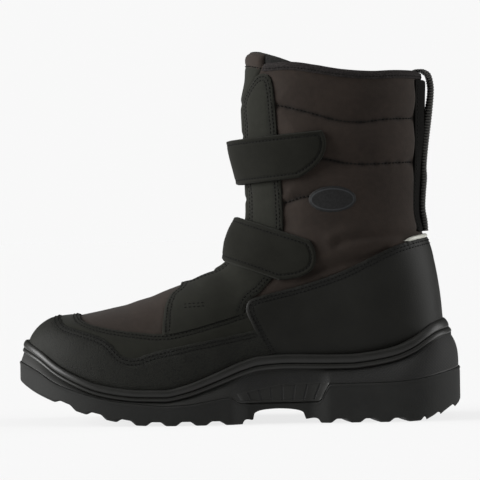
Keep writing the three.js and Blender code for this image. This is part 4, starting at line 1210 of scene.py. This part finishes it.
turn = np.linspace(0, 2 * math.pi, 73)
badge_x = float(x_at(BADGE[0])) + BADGE_SIZE[0] / 2 * np.cos(turn)
badge_z = float(level(BADGE[1])) + BADGE_SIZE[1] / 2 * np.sin(turn)
badge_inside = within(np.stack([badge_x, badge_z], axis=1)[:-1])
badge_field = np.where(skin[..., 1] < 0, badge_inside, -10)
badge_height = 1.1 + 1.2 * edge_profile(badge_inside, 0.9) + 0.4 * hump(badge_inside - 1.7, 0.6)
badge = shell("badge_oval", badge_field, badge_height, -0.3, {"edge": badge_inside})
finish_piece(badge, ["badge_patch"], moulded_patch())


# The midsole: a moulded rubber cup round the foot. Its rim carries two beads with a groove between them, its
# flanks are finely hatched towards the heel, and beside the arch a panel is recessed and ribbed.

# How far the sole stands out from the upper, at shares of the length. It also leans in towards its rim at both
# ends, and at the heel its beads stand further out than the rest.
SOLE_RIM = ((0, 0.33, 0.6, 1), (1, 1.5, 2.7, 6.3))
RIM_WALL = 3.5
TOE_LEAN = 2.4
HEEL_LEAN = 5.8
HEEL_OUT = 2.4
OVERLAY_SPACE = CLEARANCE + RAND_THICKNESS + CLEARANCE
ARCH_INSET = 5
TREAD_FLOOR = 7
TRAY_WALL = 3.2
# The sole from the side: along, then the heights of the tread, the block's top and the rim's top.
SOLE_SIDE = [
    (-0.03, 0.27, 0.40, 0.535), (0.02, 0.198, 0.345, 0.468), (0.07, 0.144, 0.266, 0.378),
    (0.12, 0.094, 0.217, 0.312), (0.17, 0.056, 0.178, 0.262), (0.22, 0.026, 0.151, 0.236),
    (0.27, 0.005, 0.136, 0.223), (0.33, 0.0, 0.122, 0.221), (0.38, 0.0, 0.126, 0.247),
    (0.43, 0.0, 0.144, 0.294), (0.485, 0.0, 0.166, 0.354), (0.515, 0.0, 0.13, 0.386),
    (0.56, 0.0, 0.128, 0.418), (0.62, 0.0, 0.128, 0.428), (0.695, 0.0, 0.13, 0.424),
    (0.725, 0.0, 0.24, 0.422), (0.77, 0.0, 0.242, 0.422), (0.82, 0.0, 0.243, 0.435),
    (0.88, 0.0, 0.248, 0.466), (0.93, 0.004, 0.262, 0.514), (0.968, 0.018, 0.281, 0.568),
    (1.0, 0.05, 0.299, 0.607), (1.033, 0.08, 0.319, 0.627), (1.05, 0.125, 0.33, 0.635),
]
RIB_PITCH = 6.9
HATCH = math.pi / 0.0015 / math.sqrt(2)
PANEL_MIDDLE = 29
PANEL_FOOT = 13.8


def sole_level(name, along):
    column = {"tread": 1, "block": 2, "rim": 3}[name]
    return level(curve([row[0] for row in SOLE_SIDE], [row[column] for row in SOLE_SIDE], along))


def plan_side(along, sign):
    """How far the last reaches to the outer (-1) or inner (1) side, seen from above."""
    rows = SECTIONS[:HEEL_ROW + 2]
    places = [row[2] for row in rows]
    lateral, medial, centre = (curve(places, [row[k] for row in rows], along) * BALL_WIDTH for k in (4, 5, 6))
    distance = along * LAST_LENGTH
    ends = closing(distance, TOE_ROUND_PLAN, 2.4) * closing(LAST_LENGTH - distance, lateral, 2.3)
    return centre - (lateral + centre) * ends if sign < 0 else centre + (medial - centre) * ends


def tray_floor(tread, block, draw):
    """The height inside the outsole's tray, which is level with the block's top where the waist draws in."""
    return np.minimum(mix(tread + TREAD_FLOOR, block - CLEARANCE, draw / ARCH_INSET), block - CLEARANCE)


def waist(along):
    """How far the sole's lower part is drawn in beside the arch."""
    return ARCH_INSET * smooth_step(0.484, 0.535, along) * (1 - smooth_step(0.672, 0.726, along))


def sole_edge(turn, sign):
    """Points and outward directions of the rim's outline, and the along share there."""
    def place(t):
        along = (1 - np.cos(math.pi * np.clip(t, 0, 1))) / 2
        return np.stack([x_at(along), plan_side(along, sign)], axis=-1)
    point = place(turn)
    run = unit(place(turn + 0.004) - place(turn - 0.004))
    out = np.stack([run[..., 1], -run[..., 0]], axis=-1) * (1 if sign < 0 else -1)
    out[turn <= 0] = (-1, 0)
    out[turn >= 1] = (1, 0)
    stand = curve(*SOLE_RIM, (point[..., 0] - TOE_X) / LAST_LENGTH)
    edge = OVERLAY_SPACE + RIM_WALL + stand
    along = (point[..., 0] + out[..., 0] * edge - TOE_X) / LAST_LENGTH
    return point, out, edge, along, stand


def bead_profile(count=34):
    """Depth below the rim's top and inset of its two beads, a broad one over a thinner, from the top down."""
    upper_turn = np.linspace(math.radians(86), math.radians(-62), count // 2)
    lower_turn = np.linspace(math.radians(60), math.radians(-80), count // 2)
    upper_bead = [(2.5 - 2.5 * math.sin(a), 1.5 - 1.5 * math.cos(a)) for a in upper_turn]
    lower_bead = [(6.6 - 1.45 * math.sin(a), 1.7 - 1.25 * math.cos(a)) for a in lower_turn]
    return [(0.0, 2.6)] + upper_bead + [(5.05, 1.75)] + lower_bead + [(8.3, 2.4)]


def moulded_rubber():
    """Satin black rubber. Flank is 0.2 on matt faces, 1 where hatched and below 0 in the ribbed panel."""
    rubber = Finish("satin moulded rubber", roughness=0.5, specular_ior_level=0.3)
    flank = rubber.stored("flank")
    matt = flank.size().ramp(0.0, 0.2)
    hatched = flank.ramp(0.2, 1.0)
    axes = rubber.tree.nodes.new("ShaderNodeSeparateXYZ")
    feed(rubber.tree, axes.inputs[0], rubber.place)
    x, z = Wire(rubber.tree, axes.outputs["X"]), Wire(rubber.tree, axes.outputs["Z"])
    hatch = (((x + z) * HATCH).sine() * ((x - z) * HATCH).sine()).size()
    ribs = (x - PANEL_MIDDLE * MM) / ((z - PANEL_FOOT * MM) * 20 + 1) / (RIB_PITCH * MM)
    away = ((ribs + 0.5).maths("FRACT") - 0.5).size()
    groove = (1 - away.ramp(0.04, 0.1)) * (flank * -1).ramp(0.3, 0.9)
    cloud = rubber.noise(90, 3.0)
    plain = rubber.blend(cloud.ramp(0.3, 0.7), (0.0072, 0.0072, 0.0062), (0.0096, 0.0096, 0.0084))
    # Painted shade: the hatch's lines and the ribbed panel's grooves are darkened in the colour.
    dark = ((1 - hatch) * hatched * 0.8).maths("MAXIMUM", groove)
    rubber.colour(rubber.blend(dark, plain, (0.003, 0.003, 0.003)))
    rubber.roughness(0.4 + cloud * 0.1 + matt * 0.3)
    skin_grain = rubber.noise(500, 2.0) * 0.06
    rubber.relief(hatch * hatched * 0.4 - groove * 1.5 + skin_grain, 0.3, 0.8)
    return rubber.material


def sole_grid(profile, stations):
    """Both sides of a sole piece: profile gives insets and levels for each place round the outline."""
    turn = np.linspace(0, 1, stations)
    rings, extras = [], []
    for sign in (-1, 1):
        point, out, edge, along, stand = sole_edge(turn, sign)
        inset, z, extra = profile(along, stand)
        place = point[:, None] + out[:, None] * (edge[:, None] - inset)[..., None]
        rings.append(np.concatenate([place, z[..., None]], axis=-1))
        extras.append(extra)
    return (
        np.concatenate([rings[0], rings[1][:, ::-1]], axis=1),
        np.concatenate([extras[0], extras[1][:, ::-1]], axis=1),
    )


def arch_panel(x, z):
    """How far a place lies below the top and inside the ends of the ribbed panel beside the arch."""
    rise = z - PANEL_FOOT
    top = np.interp(x, (0, 28, 61), (20.9, 26.6, 27.3)) - z
    return top, np.minimum(x - 3 + 0.64 * rise, 55.5 + 0.41 * rise - x)


def midsole_profile(along, stand):
    """Insets, heights and flank values from the foot's tray outwards, up the flank, over the beads and in."""
    n = len(along)
    tread, block, rim = (sole_level(name, along)[:, None] for name in ("tread", "block", "rim"))
    draw = waist(along)[:, None]
    stand = stand[:, None]
    heel = smooth_step(0.86, 1.0, along)[:, None]
    lean = TOE_LEAN * (1 - smooth_step(-0.02, 0.12, along))[:, None] + HEEL_LEAN * heel
    insets, levels, flanks = [], [], []

    def add(inset, z, flank=0.0):
        insets.append(np.broadcast_to(inset, (n, 1)))
        levels.append(np.broadcast_to(z, (n, 1)))
        flanks.append(np.broadcast_to(flank, (n, 1)))

    bottom = block + CLEARANCE
    add(draw + TRAY_WALL + 0.8 + CLEARANCE, tray_floor(tread, block, draw) + CLEARANCE)
    add(draw + TRAY_WALL + CLEARANCE, bottom)
    tall = (1 + 0.22 * smooth_step(0.3, 0.55, along))[:, None]
    beads = [
        (stand - HEEL_OUT * heel + inset + lean * (1 - below_top / 9), rim - below_top * tall)
        for below_top, inset in bead_profile()
    ]
    recess_inset, recess_level = beads[-1]
    x = x_at(along)[:, None]
    hatched = smooth_step(0.47, 0.52, along)[:, None]
    for k, share in enumerate(np.linspace(0, 1, 36)):
        z = mix(bottom, recess_level, share)
        top, side = arch_panel(x, z)
        panel = smooth_step(0, 0.8, top) * smooth_step(0, 2, side)
        lip = hump(z - bottom - 0.9, 0.7) * smooth_step(-1, 1.5, side)
        face = mix(draw * 0.6 + 1, recess_inset + 0.4, share ** (1.6 + 1.4 * heel))
        face = face + panel * 0.7 - 1.0 * lip
        edge = 1 if 1 < k < 34 else 0
        bare = 1 - smooth_step(-0.6, 0.0, np.minimum(top, side))
        add(face, z, edge * (mix(0.2, 1, hatched) * bare - panel * (1 - lip)))
    for inset, z in reversed(beads):
        add(inset, z)
    add(stand + RIM_WALL + 4, rim)
    add(stand + RIM_WALL + 9, rim - 14)
    return tuple(np.concatenate(columns, axis=1) for columns in (insets, levels, flanks))


def close_rings(name, rings, values=None):
    """A closed piece through rings that run round the sole from side to side."""
    count, width = rings.shape[:2]
    last = (count - 1) * width
    ends = [rings[0].mean(axis=0), rings[-1].mean(axis=0)]
    faces = ring_faces(count, width)
    faces += [[(c + 1) % width, c, count * width] for c in range(width)]
    faces += [[last + c, last + (c + 1) % width, count * width + 1] for c in range(width)]
    columns = {key: np.concatenate([value.ravel(), [0, 0]]) for key, value in (values or {}).items()}
    made = make_object(name, np.vstack([rings.reshape(-1, 3), ends]), faces, columns)
    turn_outwards(made)
    made.data.set_sharp_from_angle(angle=math.radians(45))
    return made


SOLE_STATIONS = 560
rings, flank = sole_grid(midsole_profile, SOLE_STATIONS)
midsole = close_rings("rim_and_cup", rings, {"flank": flank})
finish_piece(midsole, ["midsole"], moulded_rubber())


# The outsole: one tread moulding with a forefoot block, a heel block and a thin bridge over the arch. Swept
# grooves and a channel down the middle part its lugs.

# The notches of each block: the first one's place at the outer edge, in millimetres from the middle, their
# spacing and their number.
NOTCHES = ((-118.3, 20.4, 6), (69.0, 19.7, 3))
NOTCH_DEPTH = 2.7
NOTCH_HALF = 2.4
NOTCH_SLOPE = 5
NOTCH_SWEEP = 6
CENTRE_GROOVE = 5
LUG_DEPTH = 3.2
TOOTH_PITCH = 9.4
TOOTH_FIRST = 132.4
TOOTH_DEPTH = 3.0
# The opening under the arch, as along and height, with the lugs beside it cut a little short.
ARCH = [
    (0.508, -0.1), (0.518, 0.02), (0.5385, 0.026), (0.5395, 0.045), (0.546, 0.072), (0.565, 0.087),
    (0.6, 0.093), (0.635, 0.087), (0.656, 0.072), (0.6635, 0.045), (0.6645, 0.026), (0.695, 0.022), (0.71, -0.1),
]


def tread_lift(x, y):
    """How far the tread lies above the lugs' tips: swept notches, a middle channel, teeth at the back."""
    bend = NOTCH_SWEEP * (1 - (np.minimum(np.abs(y), 48) / 48) ** 1.5)
    lift = np.zeros(x.shape)
    for first, pitch, count in NOTCHES:
        for k in range(count):
            away = np.abs(x - first - pitch * k + bend)
            slope = smooth_step(NOTCH_HALF, NOTCH_HALF + NOTCH_SLOPE, away)
            lift = np.maximum(lift, NOTCH_DEPTH * (1 - slope))
    tooth = (x + 0.12 * np.abs(y) - TOOTH_FIRST) / TOOTH_PITCH
    share = tooth - np.floor(tooth)
    saw = smooth_step(-0.45, -0.1, tooth) * (share - smooth_step(0.9, 1.0, share))
    lift = np.maximum(lift, TOOTH_DEPTH * saw)
    in_blocks = ((x > x_at(0.0)) & (x < x_at(0.5))) | ((x > x_at(0.7)) & (x < x_at(0.955)))
    channel = 1 - smooth_step(CENTRE_GROOVE / 2 - 0.5, CENTRE_GROOVE / 2 + 0.5, np.abs(y))
    return np.maximum(lift, channel * in_blocks * LUG_DEPTH)


def arch_level(x):
    line = smooth_line(ARCH)
    return np.interp(x, line[:, 0], line[:, 1], left=-50, right=-50)


def tread_rubber():
    """Black tread rubber, matt, with a light bloom on its faces."""
    rubber = Finish("tread rubber", roughness=0.7, specular_ior_level=0.12)
    bloom = rubber.noise(70, 4.0, 0.6)
    fine = rubber.noise(700, 2.0)
    rubber.colour(rubber.blend(bloom.ramp(0.3, 0.7), (0.0116, 0.0118, 0.0111), (0.0156, 0.0158, 0.0149)))
    rubber.roughness(0.62 + bloom * 0.14)
    rubber.relief(fine, 0.2, 0.5)
    return rubber.material


def outsole_rings():
    """Rings across the sole: the underside from edge to edge, then each side wall and the tray's inside."""
    turn = np.linspace(0, 1, SOLE_STATIONS)
    sides = {sign: sole_edge(turn, sign) for sign in (-1, 1)}
    wall = {}
    for sign, (point, out, edge, along, stand) in sides.items():
        draw = waist(along)[:, None]
        tread, block = (sole_level(name, along)[:, None] for name in ("tread", "block"))
        share = np.linspace(0, 1, 26)[None, :]
        z = mix(tread, block, share)
        corner = 1.6 * (1 - np.clip((z - tread) / 2.2, 0, 1)) ** 2
        lip = -0.7 * hump(block - z - 0.8, 0.7)
        inset = draw + corner + 0.5 * smooth_step(0.85, 1, share) + lip
        place = point[:, None] + out[:, None] * (edge[:, None] - inset)[..., None]
        outside = np.concatenate([place, z[..., None]], axis=-1)
        reach = np.clip((tread + 6 - z) / 6, 0, 1)
        outside[..., 2] += tread_lift(outside[..., 0], outside[..., 1]) * reach
        outside[..., 2] = np.maximum(outside[..., 2], np.minimum(arch_level(outside[..., 0]), block - 1.6))
        floor = tray_floor(tread, block, draw)
        inside = []
        for inset_in, z_in in ((draw + TRAY_WALL, block), (draw + TRAY_WALL + 0.8, floor)):
            place = point[:, None] + out[:, None] * (edge[:, None] - inset_in)[..., None]
            inside.append(np.concatenate([place, z_in[..., None]], axis=-1))
        wall[sign] = np.concatenate([outside] + inside, axis=1)
    across = np.linspace(0, 1, 96)[1:-1][None, :, None]
    first, last = wall[-1][:, :1].copy(), wall[1][:, :1].copy()
    tread = {sign: sole_level("tread", sides[sign][3])[:, None] for sign in (-1, 1)}
    base = mix(first, last, across)
    base[..., 2] = mix(tread[-1], tread[1], across[..., 0])
    base[..., 2] += tread_lift(base[..., 0], base[..., 1])
    base[..., 2] = np.maximum(base[..., 2], arch_level(base[..., 0]))
    return np.concatenate([wall[-1][:, ::-1], base, wall[1]], axis=1)


rings = outsole_rings()
outsole = close_rings("lugged_tread", rings)
finish_piece(outsole, ["outsole"], tread_rubber())


# The insole: a slab of grey felt, cut to the foot's outline, lying on the closed bottom of the upper.

INSOLE_THICKNESS = 2.6
# The slab covers the skin wherever that faces within about 35 degrees of straight down.
sole_field = (-skin_normal[..., 2] - 0.82) * 60
sole_field = np.where((skin_station > 0.35) & (skin[..., 2] < 60), sole_field, -10)
insole_top = -WALL - CLEARANCE - INSOLE_THICKNESS * edge_profile(sole_field, 2.5)
insole = shell("felt_insole", sole_field, -WALL - CLEARANCE, insole_top)
finish_piece(insole, ["insole"], bpy.data.materials["dark felt lining"])


# The studio: a wide, evenly lit translucent table that runs into a pale backdrop, with broad soft lights low on
# the left and right and a weaker one overhead, as in a product photograph. The front has no light of its own.

SURROUND = 0.94
FILL = 0.04
FLOOR_TONE = 0.12
FLOOR_GLOW = 0.788
LIGHTS = [
    ("left_light", (-0.9, -0.1, 0.3), 7.2, 42),
    ("right_light", (0.93, -0.02, 0.32), 3.0, 50),
    ("overhead_light", (0.05, -0.12, 1.0), 0.6, 70),
]

bpy.ops.mesh.primitive_plane_add(size=4000, location=(0, 0, 0))
floor = bpy.context.object
floor.name = "studio_floor"
paper = Finish("white studio paper", roughness=1.0, specular_ior_level=0.0, emission_strength=FLOOR_GLOW)
paper.shader.inputs["Emission Color"].default_value = (1, 1, 1, 1)
paper.colour((FLOOR_TONE, FLOOR_TONE, FLOOR_TONE))
floor.data.materials.append(paper.material)

world = bpy.data.worlds.new("studio surround")
bpy.context.scene.world = world
world.use_nodes = True
backdrop = next(n for n in world.node_tree.nodes if n.type == "BACKGROUND")
backdrop.inputs["Color"].default_value = (1, 1, 1, 1)
seen = world.node_tree.nodes.new("ShaderNodeLightPath")
world_tone = Wire(world.node_tree, seen.outputs["Is Camera Ray"]) * (SURROUND - FILL) + FILL
feed(world.node_tree, backdrop.inputs["Strength"], world_tone)

for name, place, strength, spread in LIGHTS:
    bpy.ops.object.light_add(type="SUN", location=place)
    lamp = bpy.context.object
    lamp.name = name
    lamp.data.energy = strength
    lamp.data.angle = math.radians(spread)
    x, y, z = np.array(place) / np.linalg.norm(place)
    lamp.rotation_euler = (math.acos(z), 0, math.atan2(y, x) + math.pi / 2)


# The camera: level with the middle of the boot, square to its outer side and turned a little about its own
# axis, as the photograph is.

CAMERA_DISTANCE = 1.8
VIEW_WIDTH = 0.336
CAMERA_ROLL = 0.9
bpy.ops.object.camera_add(location=(0.0017, -CAMERA_DISTANCE, 0.1256))
camera = bpy.context.object
camera.rotation_euler = (math.radians(90), math.radians(CAMERA_ROLL), 0)
camera.data.sensor_width = 36
camera.data.lens = 36 * CAMERA_DISTANCE / VIEW_WIDTH
bpy.context.scene.camera = camera
bpy.context.scene.view_settings.view_transform = "Standard"
